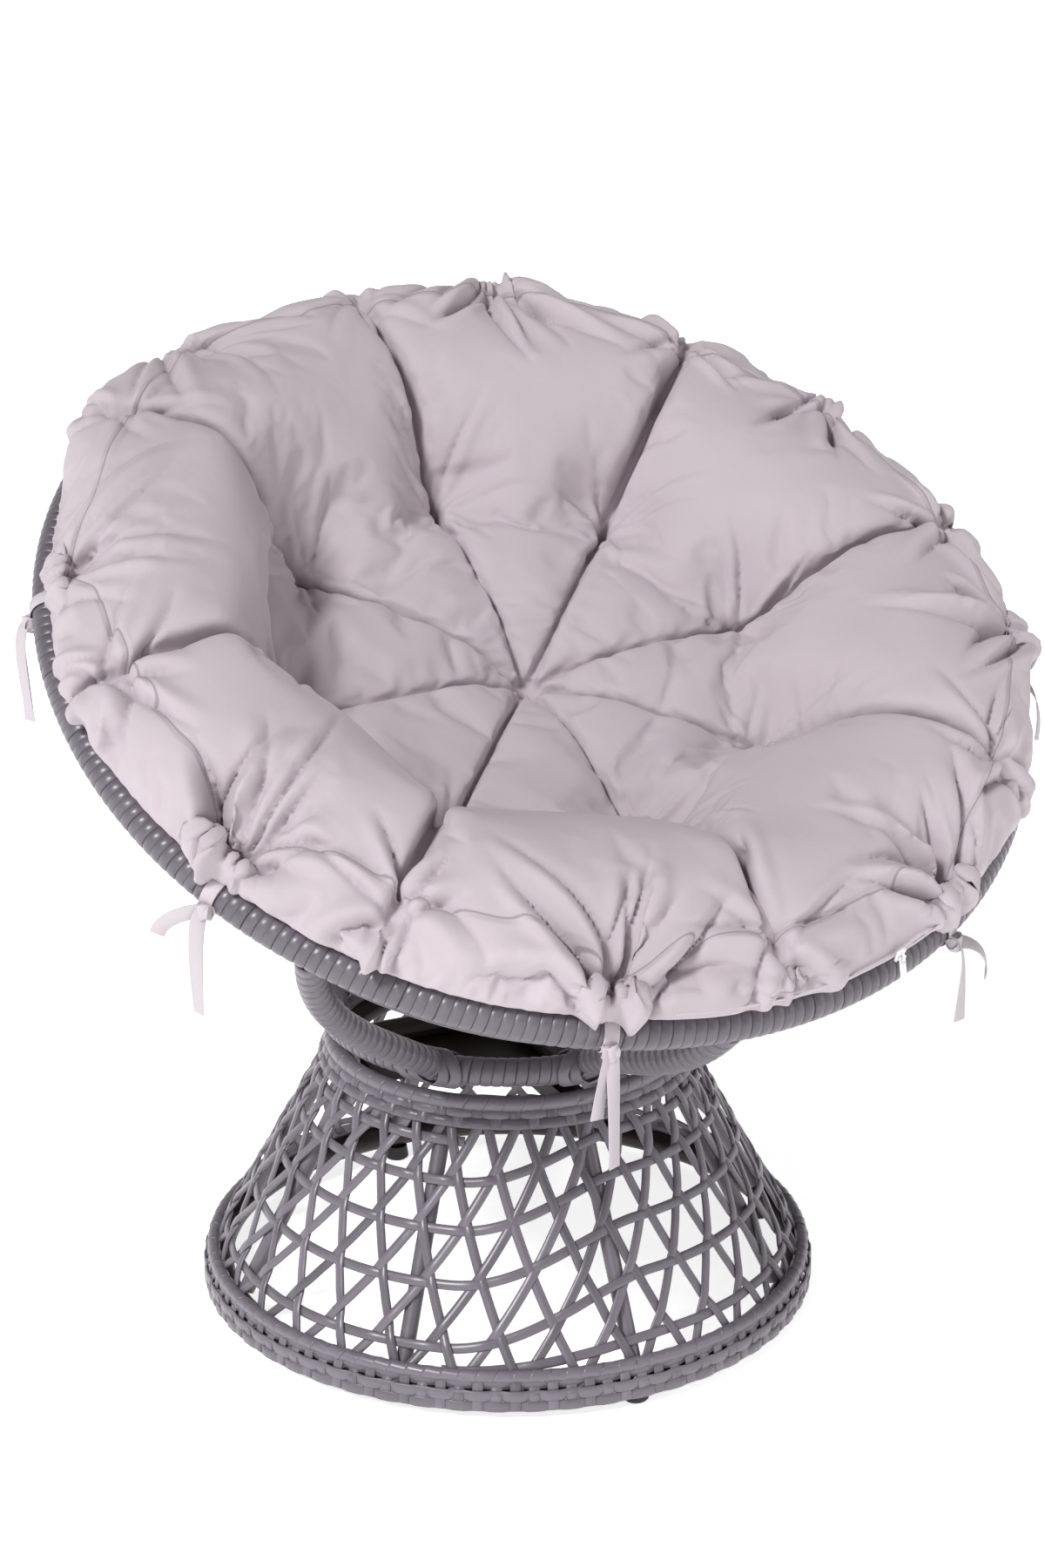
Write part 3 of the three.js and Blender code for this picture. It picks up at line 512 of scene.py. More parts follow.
def tape_material(name, base):
    """Woven tape: ribs across it and a lock stitch near each edge."""
    material, tree, give = shader(name)
    ribs = maths(tree, "SINE", maths(tree, "MULTIPLY", attribute(tree, "along"), TURN / 0.0026))
    edge = remap(tree, maths(tree, "ABSOLUTE", attribute(tree, "across")), From_Min=0.35, From_Max=0.6)
    stitch = maths(tree, "MULTIPLY", ribs, edge)
    low, middle, high = tones(base, 0.62, 1.0, 1.12)
    sewn = bump(tree, stitch, 0.5, 0.0005)
    give(Base_Color=ramp(tree, stitch, [(0.0, middle), (0.35, high), (0.9, low)]), Roughness=0.8,
         Normal=bump(tree, noise(tree, object_place(tree), 700.0), 0.3, 0.0003, Normal=sewn))
    return material


def coat_material(name, base, metal, rough, scale=300.0):
    """Coated or plated metal and moulded plastic: fine orange peel and worn, dusty patches."""
    material, tree, give = shader(name)
    place = object_place(tree)
    wear = noise(tree, place, 22.0, 6.0, Roughness=0.7)
    low, middle, high = tones(base, 0.75, 1.0, 1.6)
    give(Base_Color=ramp(tree, wear, [(0.35, low), (0.55, middle), (0.8, high)]), Metallic=metal,
         Roughness=remap(tree, wear, To_Min=rough * 0.75, To_Max=min(rough * 1.35, 1)),
         Normal=bump(tree, noise(tree, place, scale, 3.0), 0.2, 0.0003))
    return material


MAKERS = {
    "cane": lambda tone: cane_material("resin_cane", tone.cane),
    # The bowl's cane is the cane made darker: painted shade under the cushion.
    "shaded_cane": lambda tone: cane_material("bowl_cane_painted_shade", tone.cane, 0.9),
    "cloth": lambda tone: cloth_material("cushion_cover", tone.cloth),
    "tape": lambda tone: tape_material("tie_tape", tone.tape),
    "steel": lambda tone: coat_material("dark_coated_steel", tone.steel, 0.3, 0.4),
    "bright": lambda tone: coat_material("zinc_plated_steel", tone.bright, 1.0, 0.25),
    "glide": lambda tone: coat_material("moulded_glide", tone.glide, 0.0, 0.55),
    "zip": lambda tone: coat_material("painted_zip", tone.zip, 0.0, 0.35, 900.0),
}
FINISHES = {}


def finish_of(name):
    """The material of that finish, made at its first use."""
    if name not in FINISHES:
        FINISHES[name] = MAKERS[name](bpy.context.scene.chair_finish)
    return FINISHES[name]


# The stage
FLOOR_REACH, FLOOR_GLOW = 30.0, 0.74
SKY = [(0.0, (0.86,) * 3), (0.22, (0.70,) * 3), (0.45, (0.12,) * 3)]
# Each lamp's kind, place, spread and power; all look at one point of the chair
LAMPS = {
    "key": ("SUN", (-2.3, -1.0, 3.1), {"angle": math.radians(14)}, 2.85),
    "fill": ("AREA", (2.6, -2.0, 2.0), {"size": 2.0}, 22),
    "front": ("AREA", (-2.4, -2.8, 1.3), {"size": 0.9}, 10),
}
LAMP_TARGET = Vector((0, 0, 0.5))
CAMERA_PLACE = (-1.3367, AXIS_Y - 2.9128, 1.6693)
CAMERA_YAW, CAMERA_PITCH = math.radians(24.92), math.radians(-19.595)
CAMERA_LENS, CAMERA_SENSOR = 80, 36


def look_along(piece, way):
    piece.rotation_euler = way.to_track_quat("-Z", "Y").to_euler()


class CHAIR_OT_stage(bpy.types.Operator):
    """Floor, studio light and the camera at the photograph's angle"""
    bl_idname = "chair.stage"
    bl_label = "Stage"

    def execute(self, context):
        scene = context.scene
        mesh = bpy.data.meshes.new("floor")
        corners = ((-1, -1), (1, -1), (1, 1), (-1, 1))
        mesh.from_pydata([(x * FLOOR_REACH, y * FLOOR_REACH, 0) for x, y in corners], [], [(0, 1, 2, 3)])
        material, _, give = shader("pale_floor")
        give(Base_Color=(*scene.chair_finish.floor, 1), Roughness=0.9, Emission_Color=(1, 1, 1, 1),
             Emission_Strength=FLOOR_GLOW)
        mesh.materials.append(material)
        add_object("floor", mesh)
        world = bpy.data.worlds.new("studio")
        world.use_nodes = True
        sky = world.node_tree
        way = node(sky, "ShaderNodeSeparateXYZ", node(sky, "ShaderNodeTexCoord").outputs["Generated"])
        put(sky, sky.nodes["Background"].inputs["Color"], ramp(sky, way.outputs["Z"], SKY))
        scene.world = world
        scene.view_settings.view_transform = "Standard"
        for name, (kind, place, spread, power) in LAMPS.items():
            light = bpy.data.lights.new(name, kind)
            light.energy = power
            for key, value in spread.items():
                setattr(light, key, value)
            lamp = add_object(name, light)
            lamp.location = place
            look_along(lamp, LAMP_TARGET - Vector(place))
        camera = add_object("camera", bpy.data.cameras.new("camera"))
        camera.location = CAMERA_PLACE
        level = math.cos(CAMERA_PITCH)
        way = (math.sin(CAMERA_YAW) * level, math.cos(CAMERA_YAW) * level, math.sin(CAMERA_PITCH))
        look_along(camera, Vector(way))
        camera.data.lens, camera.data.sensor_width = CAMERA_LENS, CAMERA_SENSOR
        scene.camera = camera
        return {"FINISHED"}


# The frame's wound tubes
WRAP_OVERLAP = 1.12   # a turn's width by its pitch
WRAP_SUNK = 0.45      # share of the cane's thickness that lies inside the tube's own surface
WRAP_WANDER = 0.0006  # how unevenly the turns follow each other
RIB_COARSE = 1.4      # the ribs' turns by those of the rings
RIB_PULLS = 0.25, 0.464   # how far a rib keeps its slope at foot and head, by its straight length
RIB_SEAT = 0.7            # where a rib starts in a ring, by the ring's tube
LASH_SWING, LASH_SHIFT, LASH_STEPS = 0.017, 0.004, 28   # reach to both sides of a rib, offset, points


def rib_line(angle, steps=40):
    """Points of a rib's middle, from the seat ring up to the rim."""
    low, high = axis_point(SEAT_RADIUS, angle, SEAT_HEIGHT), rim_point(RIM_RADIUS, angle)
    level = math.cos(RIB_FOOT)
    foot = Vector((level * math.sin(angle), -level * math.cos(angle), math.sin(RIB_FOOT)))
    head = rim_way(-math.sin(RIB_HEAD), angle, -math.cos(RIB_HEAD))
    length = (high - low).length
    points = [low + foot * (SEAT_TUBE * RIB_SEAT), low + foot * RIB_PULLS[0] * length,
              high + head * RIB_PULLS[1] * length, high + head * (RIM_TUBE * RIB_SEAT)]
    return [bezier(points, i / steps) for i in range(steps + 1)]


def lashing(angle, lean, shift, height):
    """One turn that ties a rib's foot to the seat ring; turns of the two leans cross on it."""
    def places():
        for k in range(LASH_STEPS):
            turn = TURN * k / LASH_STEPS
            off = lean * (LASH_SWING * math.cos(turn) + LASH_SHIFT) + shift
            centre = axis_point(SEAT_RADIUS, angle + off / SEAT_RADIUS, SEAT_HEIGHT)
            out = (centre - Vector((0, AXIS_Y, SEAT_HEIGHT))).normalized()
            look = out * math.cos(turn) + UP * math.sin(turn)
            yield centre + look * height, look

    return path(places(), True)


class CHAIR_OT_wound_tubes(bpy.types.Operator):
    """Rim, seat ring and ribs, each wound closely with cane"""
    bl_idname = "chair.wound_tubes"
    bl_label = "Wound tubes"

    def execute(self, context):
        sizes = context.scene.chair_cane
        thick, pitch = sizes.wrap_thick, sizes.wrap_pitch
        wide, even = pitch * WRAP_OVERLAP, {"per_turn": 20, "wobble": WRAP_WANDER}
        rings = (("rim", lambda a: rim_point(RIM_RADIUS, a), lambda a: rim_way(1, a), RIM.to_3x3() @ UP,
                  RIM_TUBE),
                 ("seat_ring", lambda a: axis_point(SEAT_RADIUS, a, SEAT_HEIGHT), outward, UP, SEAT_TUBE))
        for name, point_at, out_at, up, tube in rings:
            turns = ring_winding(point_at, out_at, up, pitch, tube - thick * WRAP_SUNK, **even)
            cane(f"{name}_winding", [turns], WOUND, wide, thick, 0.9, replaced=[name])
        for i, angle in enumerate(RIB_TURNS):
            loops = [lashing(angle, lean, step * wide * 0.95, SEAT_TUBE + thick * over)
                     for lean, over in ((-1, 0.55), (1, 1.0)) for step in (-0.5, 0.5)]
            cane(f"rib_{i + 1}_lashing", loops, WOUND, wide, thick, 0.8, seed=40 + i)
            middle = tube_line(rib_line(angle))
            turns = winding(*middle, SEAT_TUBE - thick * WRAP_SUNK, pitch * RIB_COARSE, seed=i, **even)
            cane(f"rib_{i + 1}_winding", [turns], WOUND, wide * RIB_COARSE, thick, 0.9,
                 replaced=[f"seat_rib_{i + 1}"])
        return {"FINISHED"}


# The woven base
STRAND_LOW, STRAND_HIGH, STRAND_STEPS = -0.035, 1.05, 60   # the strands end inside the borders
BASE_CROSSING, BASE_WAVE = 0.011, 0.52   # length of a rise over a crossing, and its height by thickness
WEFT_CROSSING = 0.24                     # the same length for the winding strand, by the columns' pitch


def clamp(value):
    return max(-1.0, min(1.0, value))


def bumps(value, places, spread):
    near = [place for place in places if abs(value - place) < 4 * spread]
    return sum(math.exp(-((value - place) / spread) ** 2) for place in near)


def weft_share(turn):
    """Share of the height that the winding strand has reached after some turns."""
    level = min(int(turn), len(WEFT_LEVELS) - 2)
    t = min(max((turn - level) * TURN / WEFT_CLIMB, 0), 1)
    t = t * t * (3 - 2 * t)
    return WEFT_LEVELS[level] + (WEFT_LEVELS[level + 1] - WEFT_LEVELS[level]) * t


def weft_crossings(angle):
    """Shares of the height at which the winding strand passes a given angle."""
    turns = ((angle - WEFT_START) / TURN + lap for lap in range(-1, len(WEFT_LEVELS)))
    return [weft_share(turn) for turn in turns if 0 <= turn <= len(WEFT_LEVELS) - 1]


class CHAIR_OT_base_weave(bpy.types.Operator):
    """Open cane weave of the base: two sets of slanting strands and one that winds upwards"""
    bl_idname = "chair.base_weave"
    bl_label = "Base weave"

    def execute(self, context):
        sizes = context.scene.chair_cane
        wide, thick, half = sizes.strand_wide, sizes.strand_thick, sizes.strand_thick * BASE_WAVE
        pitch = TURN / BASE_COLUMNS
        left_turn = BASE_ROWS * pitch - BASE_RIGHT
        nodes = [k / BASE_ROWS for k in range(BASE_ROWS + 1)]
        spread = BASE_CROSSING / BASE_SLANT

        def slanting(start, turn, over_node, over_weft):
            for i in range(STRAND_STEPS + 1):
                share = STRAND_LOW + (STRAND_HIGH - STRAND_LOW) * i / STRAND_STEPS
                angle = start + turn * share
                lift = (over_node * bumps(share, nodes, spread)
                        + over_weft * bumps(share, weft_crossings(angle % TURN), spread))
                yield base_point(angle, share, BASE_LIFT + clamp(lift) * half), base_out(angle)

        def climbing(turns, per_turn):
            for i in range(turns * per_turn + 1):
                turn = i / per_turn
                share, angle = weft_share(turn), WEFT_START + turn * TURN
                right = ((angle - BASE_RIGHT * share) / pitch) % 1
                left = ((angle + left_turn * share) / pitch) % 1
                over, under = (bumps(min(side, 1 - side), [0], WEFT_CROSSING) for side in (right, left))
                yield base_point(angle, share, BASE_LIFT + half * clamp(over - under)), base_out(angle)

        ways = ((BASE_RIGHT, 1, -1), (-left_turn, -1, 1))
        strands = [path(slanting(column * pitch, *way)) for way in ways for column in range(BASE_COLUMNS)]
        cane("base_strands", strands, WOVEN, wide, thick, 0.55, replaced=["base_weave"], seed=11)
        weft = path(climbing(len(WEFT_LEVELS) - 1, BASE_COLUMNS * 8))
        cane("base_weft_strand", [weft], WOVEN, wide, thick * 0.9, 0.55, replaced=["base_weft"], seed=12)
        return {"FINISHED"}


# The borders of the base. Places on them are (angle, row, lift), the row counted upwards.
LOW_BORDER_RADIUS, LOW_BORDER_FOOT, LOW_BORDER_LEAN = 0.3082, 0.0150, 0.0050
TOP_ROW, TOP_BORDER_DROP, TOP_BORDER_LIFT = 0.0098, 0.0105, 0.0158
ROW_WAVE = 0.2        # how far rows and stakes pass over and under each other, by their thickness
ROW_STEPS = 6         # points of a row from stake to stake, and of a stake from row to row
STAKE_START, STAKE_SHORT = 0.38, 0.24   # how far a stake starts below the lowest row, and its missing length
LEGS, LEG_START, LEG_RUN, LEG_STEPS = 8, 0.055, 0.89, 8   # start and length as shares of the slant


class CHAIR_OT_base_borders(bpy.types.Operator):
    """Woven borders of the base: rolled edges, rows of plain weave and their stakes; and the legs"""
    bl_idname = "chair.base_borders"
    bl_label = "Base borders"

    def border(self, sizes, name, point_at, out_at, rows, row_tall, stakes, roll, replaced):
        """Rows go over and under the stakes; roll is (height, tube radius, pitch) of the rolled edge."""
        thick = sizes.strand_thick

        def row_places(row):
            for i in range(stakes * ROW_STEPS):
                angle = TURN * i / (stakes * ROW_STEPS)
                wave = math.cos(angle * stakes / 2 + row * math.pi)
                yield point_at(angle, row, thick * (ROW_WAVE * clamp(2.2 * wave))), out_at(angle)

        def stake_places(angle):
            for k in range(rows * ROW_STEPS + 1):
                place = k / ROW_STEPS * (1 - STAKE_SHORT / rows) - STAKE_START
                row = min(max(round(place), 0), rows - 1)
                wave = math.cos(angle * stakes / 2 + row * math.pi) * math.cos((place - row) * math.pi)
                yield point_at(angle, place, -ROW_WAVE * thick * wave), out_at(angle)

        weave = [path(row_places(row), True) for row in range(rows)]
        cane(f"{name}_rows", weave, WOVEN, row_tall, thick * 0.8, 0.4, replaced=replaced, seed=21)
        uprights = [path(stake_places(TURN * i / stakes)) for i in range(stakes)]
        cane(f"{name}_stakes", uprights, WOVEN, sizes.strand_wide * 1.1, thick * 0.7, 0.4, seed=22)
        height, tube, pitch = roll
        edge = ring_winding(lambda a: point_at(a, height, -tube * 0.35), outward, UP, pitch, tube,
                            per_turn=26, wobble=0.001)
        cane(f"{name}_edge", [edge], WOVEN, pitch * 1.08, thick * 1.3, 0.95, seed=23)

    def execute(self, context):
        sizes = context.scene.chair_cane
        row, hump = sizes.row_tall, sizes.hump_pitch

        def low_place(angle, k, lift):
            radius = LOW_BORDER_RADIUS + lift - LOW_BORDER_LEAN * max(k - 1.1, 0)
            return axis_point(radius, angle, LOW_BORDER_FOOT + k * row * 0.92)

        def top_place(angle, k, lift):
            share = 1 + (k * TOP_ROW - TOP_BORDER_DROP) / BASE_SLANT
            return base_point(angle, share, TOP_BORDER_LIFT + lift)

        self.border(sizes, "bottom_border", low_place, outward, 3, row * 0.96, 108,
                    (2.5, 0.0040, hump * 0.8), ["base_bottom_border"])
        self.border(sizes, "top_border", top_place, base_out, 2, TOP_ROW * 1.04, 64,
                    (2.0, 0.0056, hump * 0.85), ["base_top_border"])
        for i in range(LEGS):
            angle = TURN * i / LEGS
            shares = (LEG_START + LEG_RUN * k / LEG_STEPS for k in range(LEG_STEPS + 1))
            line, across, _ = tube_line([base_point(angle, share, 0) for share in shares])
            cane(f"leg_{i + 1}", [(line, across, False)], WOUND_LEG, 2 * LEG_TUBE, 2 * LEG_TUBE, 1.0, 20,
                 [f"base_leg_{i + 1}"], seed=i)
        for name, place in (("bottom_ring", BASE_LOW), ("top_ring", BASE_HIGH)):
            ring = circle(120, lambda a: axis_point(place.x, a, place.y), outward)
            cane(f"{name}_tube", [ring], BARE, 2 * BASE_TUBE, 2 * BASE_TUBE, 1.0, 16, [f"base_{name}"])
        return {"FINISHED"}


# The bowl
BOWL_CROSSING, BOWL_WAVE = 0.012, 0.0011   # length of a rise over a crossing, and its height
BOWL_GAP, BOWL_THICK = 0.0056, 0.0024      # where the net starts below the rim, and its strands
BOWL_TUBE = 0.005                          # radius of the hoop's and the centre ring's cane
HOOP_SHARE, HOOP_LIFT = 0.216, 0.0071      # where the hoop lies along the bowl's slope, and how far off


class CHAIR_OT_bowl(bpy.types.Operator):
    """Open cane bowl under the cushion, its hoop and its centre ring"""
    bl_idname = "chair.bowl"
    bl_label = "Bowl"

    def execute(self, context):
        sizes = context.scene.chair_cane
        pitch = TURN / BOWL_COLUMNS
        left_turn = BOWL_ROWS * pitch - BOWL_RIGHT
        net = 1 - BOWL_GAP / BOWL_LENGTH
        nodes = [k / BOWL_ROWS for k in range(BOWL_ROWS + 1)]
        spread = BOWL_CROSSING / BOWL_LENGTH

        def slanting(start, turn, over, steps=60):
            for share in (i / steps for i in range(steps + 1)):
                angle = start + turn * share
                lift = over * bumps(share, nodes, spread) * BOWL_WAVE
                place, out = bowl_profile((1 - share) * net, lift)
                yield rim_point(place.x, angle, place.y), rim_way(out.x, angle, out.y)

        ways = ((BOWL_RIGHT, 1), (-left_turn, -1))
        strands = [path(slanting(column * pitch, *way)) for way in ways for column in range(BOWL_COLUMNS)]
        cane("bowl_strands", strands, WOVEN_BOWL, sizes.strand_wide, BOWL_THICK, 0.8,
             replaced=["bowl_weave"], seed=31)
        hoop, _ = bowl_profile(HOOP_SHARE, HOOP_LIFT)
        centre = (BOWL_RING, -BOWL_DEPTH)
        for name, (radius, height), node_name in (("bowl_hoop_cane", hoop, "bowl_hoop"),
                                                  ("bowl_centre_cane", centre, "bowl_centre_ring")):
            ring = circle(160, lambda a: rim_point(radius, a, height), lambda a: rim_way(1, a))
            cane(name, [ring], WOVEN_BOWL, 2 * BOWL_TUBE, 2 * BOWL_TUBE, 1.0, 12, [node_name])
        return {"FINISHED"}


# The cushion, on the rim's plane. Heights count from that plane, on the cover's upper side.
CREST_DROP, CREST_RISE = 0.050, 0.012     # how the roll sinks at the low side and rises at the full one
BAND_HEIGHT, BAND_DROP = 0.056, 0.022     # top of the boxing band, and how it sinks at the low side
FULL_CREST, FULL_TUFTS = 0.020, 0.040     # how the full side moves the crest in and its tufts out
TIE_IN, CORNER_OUT, TUCK_IN = 0.006, 0.014, 0.010   # how the edge is drawn in and pushed out
# (radius, height) of the boxing band and of the underside where it lies on the rim
BAND_SECTION = ((0.4655, 0.050), (0.4700, 0.045), (0.4715, 0.038), (0.4710, 0.030), (0.4690, 0.0235),
                (BAND_LOW - 0.004, 0.0200), (RIM_RADIUS - 0.0085, 0.0198), (0.4376, 0.0065))
BOWL_CLEAR, MIDDLE_CLEAR, RIM_CLEAR = 0.0042, 0.0094, 0.0022   # how far it keeps off what carries it
ZIP_RUN = math.radians(9), math.radians(20)   # middle and half of the zip's length
HOLD_LEVELS = 20                              # steps in which the cover is held
# How strongly, and over what distance, the cover is drawn in towards its creases
PINCH, PINCH_WIDE = 0.85, 0.018
# Sharp creases: depth and the distance over which it fades, towards the middle and the edge
INNER_CREASE, OUTER_CREASE = (0.002, 0.0036), (0.004, 0.007)
# Folds about one point: how many, their reach, height and width
MIDDLE_FOLDS, TUFT_FOLDS = (6, 0.08, 0.0022, 0.005), (8, 0.10, 0.0038, 0.005)
TIE_FOLDS, EDGE_FOLDS = (9, 0.17, 0.012, 0.009), (8, 0.12, 0.0095, 0.008)


def from_line(x, y, start, end):
    """Offset of each place from a line on the rim's plane."""
    run = np.array(end) - np.array(start)
    share = np.clip(((x - start[0]) * run[0] + (y - start[1]) * run[1]) / run.dot(run), 0, 1)
    return x - start[0] - share * run[0], y - start[1] - share * run[1]


def smooth(value, low, high):
    t = np.clip((value - low) / (high - low), 0, 1)
    return t * t * (3 - 2 * t)


def bell(x, y, place, spread):
    """1 at a place, falling to 0 round it."""
    return np.exp(-(np.hypot(x - place[0], y - place[1]) / spread) ** 2)


def circle_places(radius, first, count):
    turns = (first + i * TURN / count for i in range(count))
    return [(radius * math.sin(turn), -radius * math.cos(turn)) for turn in turns]


def facing(x, y, turn):
    """Cosine of the angle between a place's direction and a turn round the rim."""
    return (x * math.sin(turn) - y * math.cos(turn)) / np.maximum(np.hypot(x, y), 1e-6)


def lowness(x, y):
    """1 at the side where the cushion lies lower, 0 on the half away from it."""
    return smooth(facing(x, y, LOW_SIDE), 0, 1)


def fullness(x, y):
    """1 at the side where the roll is fuller and nearer the middle, 0 on the side away from it."""
    return smooth(facing(x, y, FULL_SIDE), -0.1, 0.9)


def crest_radius(x, y):
    return CREST_RADIUS - FULL_CREST * fullness(x, y)


def tuft_places(sizes):
    """The tufts round the middle; those under the full side lie further out."""
    places = circle_places(sizes.tuft_circle, TUFT_TURN, TUFTS)
    return [(x * stretch, y * stretch) for x, y in places
            for stretch in [1 + FULL_TUFTS / sizes.tuft_circle * float(fullness(x, y)) ** 2]]


def outline(x, y):
    """How far the edge stands out: drawn in at the ties and the tuck, pushed out at the corner."""
    def near(turn, degrees):
        return np.exp(-((1 - facing(x, y, turn)) / (1 - math.cos(math.radians(degrees)))))

    ties = np.max([near(TIE_TURN + i * TURN / TIES, 8) for i in range(TIES)], axis=0)
    return CORNER_OUT * near(CORNER, 15) - TUCK_IN * near(TUCK, 12) - TIE_IN * ties


def crease_lines(sizes):
    """The lines along which the cover is drawn in: from each tuft to the middle and out to the edge."""
    tufts, edges = tuft_places(sizes), circle_places(BAND_TOP, TUFT_TURN, TUFTS)
    return [((0, 0), tuft) for tuft in tufts], list(zip(tufts, edges))


def nearest(x, y, lines):
    return np.min([np.hypot(*from_line(x, y, *line)) for line in lines], axis=0)


def ridge(x, y, lines, spread):
    """1 along some lines, falling to 0 beside them."""
    return np.exp(-(nearest(x, y, lines) / spread) ** 2)


def cushion_top(x, y, sizes):
    """Height of the cover above the rim's plane, before the filling swells it."""
    radius = np.hypot(x, y)
    low, full, top = lowness(x, y), fullness(x, y), crest_radius(x, y)
    crest, band = sizes.crest - CREST_DROP * low + CREST_RISE * full, BAND_HEIGHT - BAND_DROP * low
    rise = np.minimum(radius / top, 1) ** (2 + 2 * full)
    height = sizes.hollow + (crest - sizes.hollow) * (1 - np.cos(np.pi * rise)) / 2
    fall = np.clip((radius - top) / (BAND_TOP - top), 0, 1)
    height = np.where(radius > top, crest + (band - crest) * fall ** 2, height)
    height -= sizes.centre_depth * bell(x, y, (0, 0), sizes.tuft_spread)
    for tuft in tuft_places(sizes):
        height -= sizes.ring_depth * (1 + 0.4 * full ** 4) * bell(x, y, tuft, sizes.tuft_spread)
    for tie in circle_places(BAND_TOP - 0.01, TIE_TURN, TIES):
        height -= sizes.gather * (1 - low) * bell(x, y, tie, 0.04)
    inner, outer = crease_lines(sizes)
    fade = 1 - smooth(radius, top, BAND_TOP)
    return (height - sizes.crease * ridge(x, y, inner, sizes.crease_wide)
            - sizes.edge_crease * ridge(x, y, outer, sizes.crease_wide * 1.4) * (0.3 + 0.7 * fade))


def cushion_body(sizes, rings=84, segments=288):
    """Closed mesh of the cushion about the rim's centre: top, boxing band and underside in the bowl."""
    sections = [(share * BAND_TOP, None) for share in np.linspace(0.012, 1, rings)]
    sections += BAND_SECTION
    sections += [tuple(bowl_profile(share, -BOWL_CLEAR)[0]) for share in np.linspace(0.08, 0.985, 16)]
    sections.append((BOWL_RING, MIDDLE_CLEAR - BOWL_DEPTH))
    angles = TUFT_TURN + TURN * np.arange(segments) / segments
    points = []
    for radius, height in sections:
        x, y = radius * np.sin(angles), -radius * np.cos(angles)
        if height is None:
            z = cushion_top(x, y, sizes)
        else:
            z = height - BAND_DROP * lowness(x, y) * smooth(height, 0.0235, 0.05)
        stretch = 1 + outline(x, y) * smooth(z, 0.020, 0.030) * smooth(radius, 0.40, 0.455) / radius
        points.append(np.stack([x * stretch, y * stretch, z], 1))
    middle = cushion_top(np.zeros(1), np.zeros(1), sizes)[0]
    points = np.concatenate([*points, [[0, 0, middle], [0, 0, MIDDLE_CLEAR - BOWL_DEPTH]]])
    top, low, last = len(points) - 2, len(points) - 1, len(sections) - 1

    def at(ring, i):
        return ring * segments + i % segments

    faces = [(at(ring, i), at(ring + 1, i), at(ring + 1, i + 1), at(ring, i + 1))
             for ring in range(last) for i in range(segments)]
    faces += [(top, at(0, i), at(0, i + 1)) for i in range(segments)]
    faces += [(low, at(last, i + 1), at(last, i)) for i in range(segments)]
    mesh = bpy.data.meshes.new("cushion_cover")
    mesh.from_pydata([tuple(p) for p in points], [], faces)
    return mesh


def vectors_of(mesh, key="co"):
    flat = np.empty(len(mesh.vertices) * 3, np.float32)
    mesh.vertices.foreach_get(key, flat)
    return flat.reshape(-1, 3).astype(float)


def put_places(mesh, places):
    mesh.vertices.foreach_set("co", places.astype(np.float32).ravel())
    mesh.update()


def cover_holds(places, sizes):
    """How firmly each point is held, 0 to 1: where it rests, at tufts, creases, ties and zip."""
    x, y, z = places.T
    radius, angle = np.hypot(x, y), np.arctan2(x, -y)
    inner, outer = crease_lines(sizes)
    middle = bell(x, y, (0, 0), 0.012)
    tuft = np.max([bell(x, y, place, 0.011) for place in tuft_places(sizes)], axis=0)
    tie = np.max([bell(x, y, place, 0.016) for place in circle_places(BAND_TOP, TIE_TURN, TIES)], axis=0)
    line = 0.9 * ridge(x, y, inner, 0.006)
    edge = 0.8 * ridge(x, y, outer, 0.006) * (1 - smooth(radius, crest_radius(x, y) - 0.03, 0.44))
    drawn = np.max([middle, tuft, tie, line, edge], axis=0)
    under = (z < cushion_top(x, y, sizes) - 0.02) & (z < 0.024)
    zip_run = (np.abs(angle - ZIP_RUN[0]) < ZIP_RUN[1]) & (z < 0.048) & (radius > 0.455)
    return np.where(under | zip_run, 1.0, drawn)


def add_filling(piece, sizes):
    """Cloth with a filling that presses on it and nothing that it could strike."""
    cloth = piece.modifiers.new("filling", "CLOTH")
    made = cloth.settings
    made.quality, made.mass, made.air_damping = 4, 0.3, 1.0
    made.tension_stiffness = made.compression_stiffness = 12
    made.shear_stiffness, made.bending_stiffness = 4, 0.8
    made.use_pressure, made.uniform_pressure_force = True, sizes.pressure
    made.shrink_min = made.shrink_max = -sizes.fullness
    made.vertex_group_mass = "hold"
    made.pin_stiffness = 1
    made.effector_weights.gravity = 0
    cloth.collision_settings.use_collision = False
    cloth.collision_settings.use_self_collision = False
    cloth.point_cache.frame_start, cloth.point_cache.frame_end = 1, sizes.frames


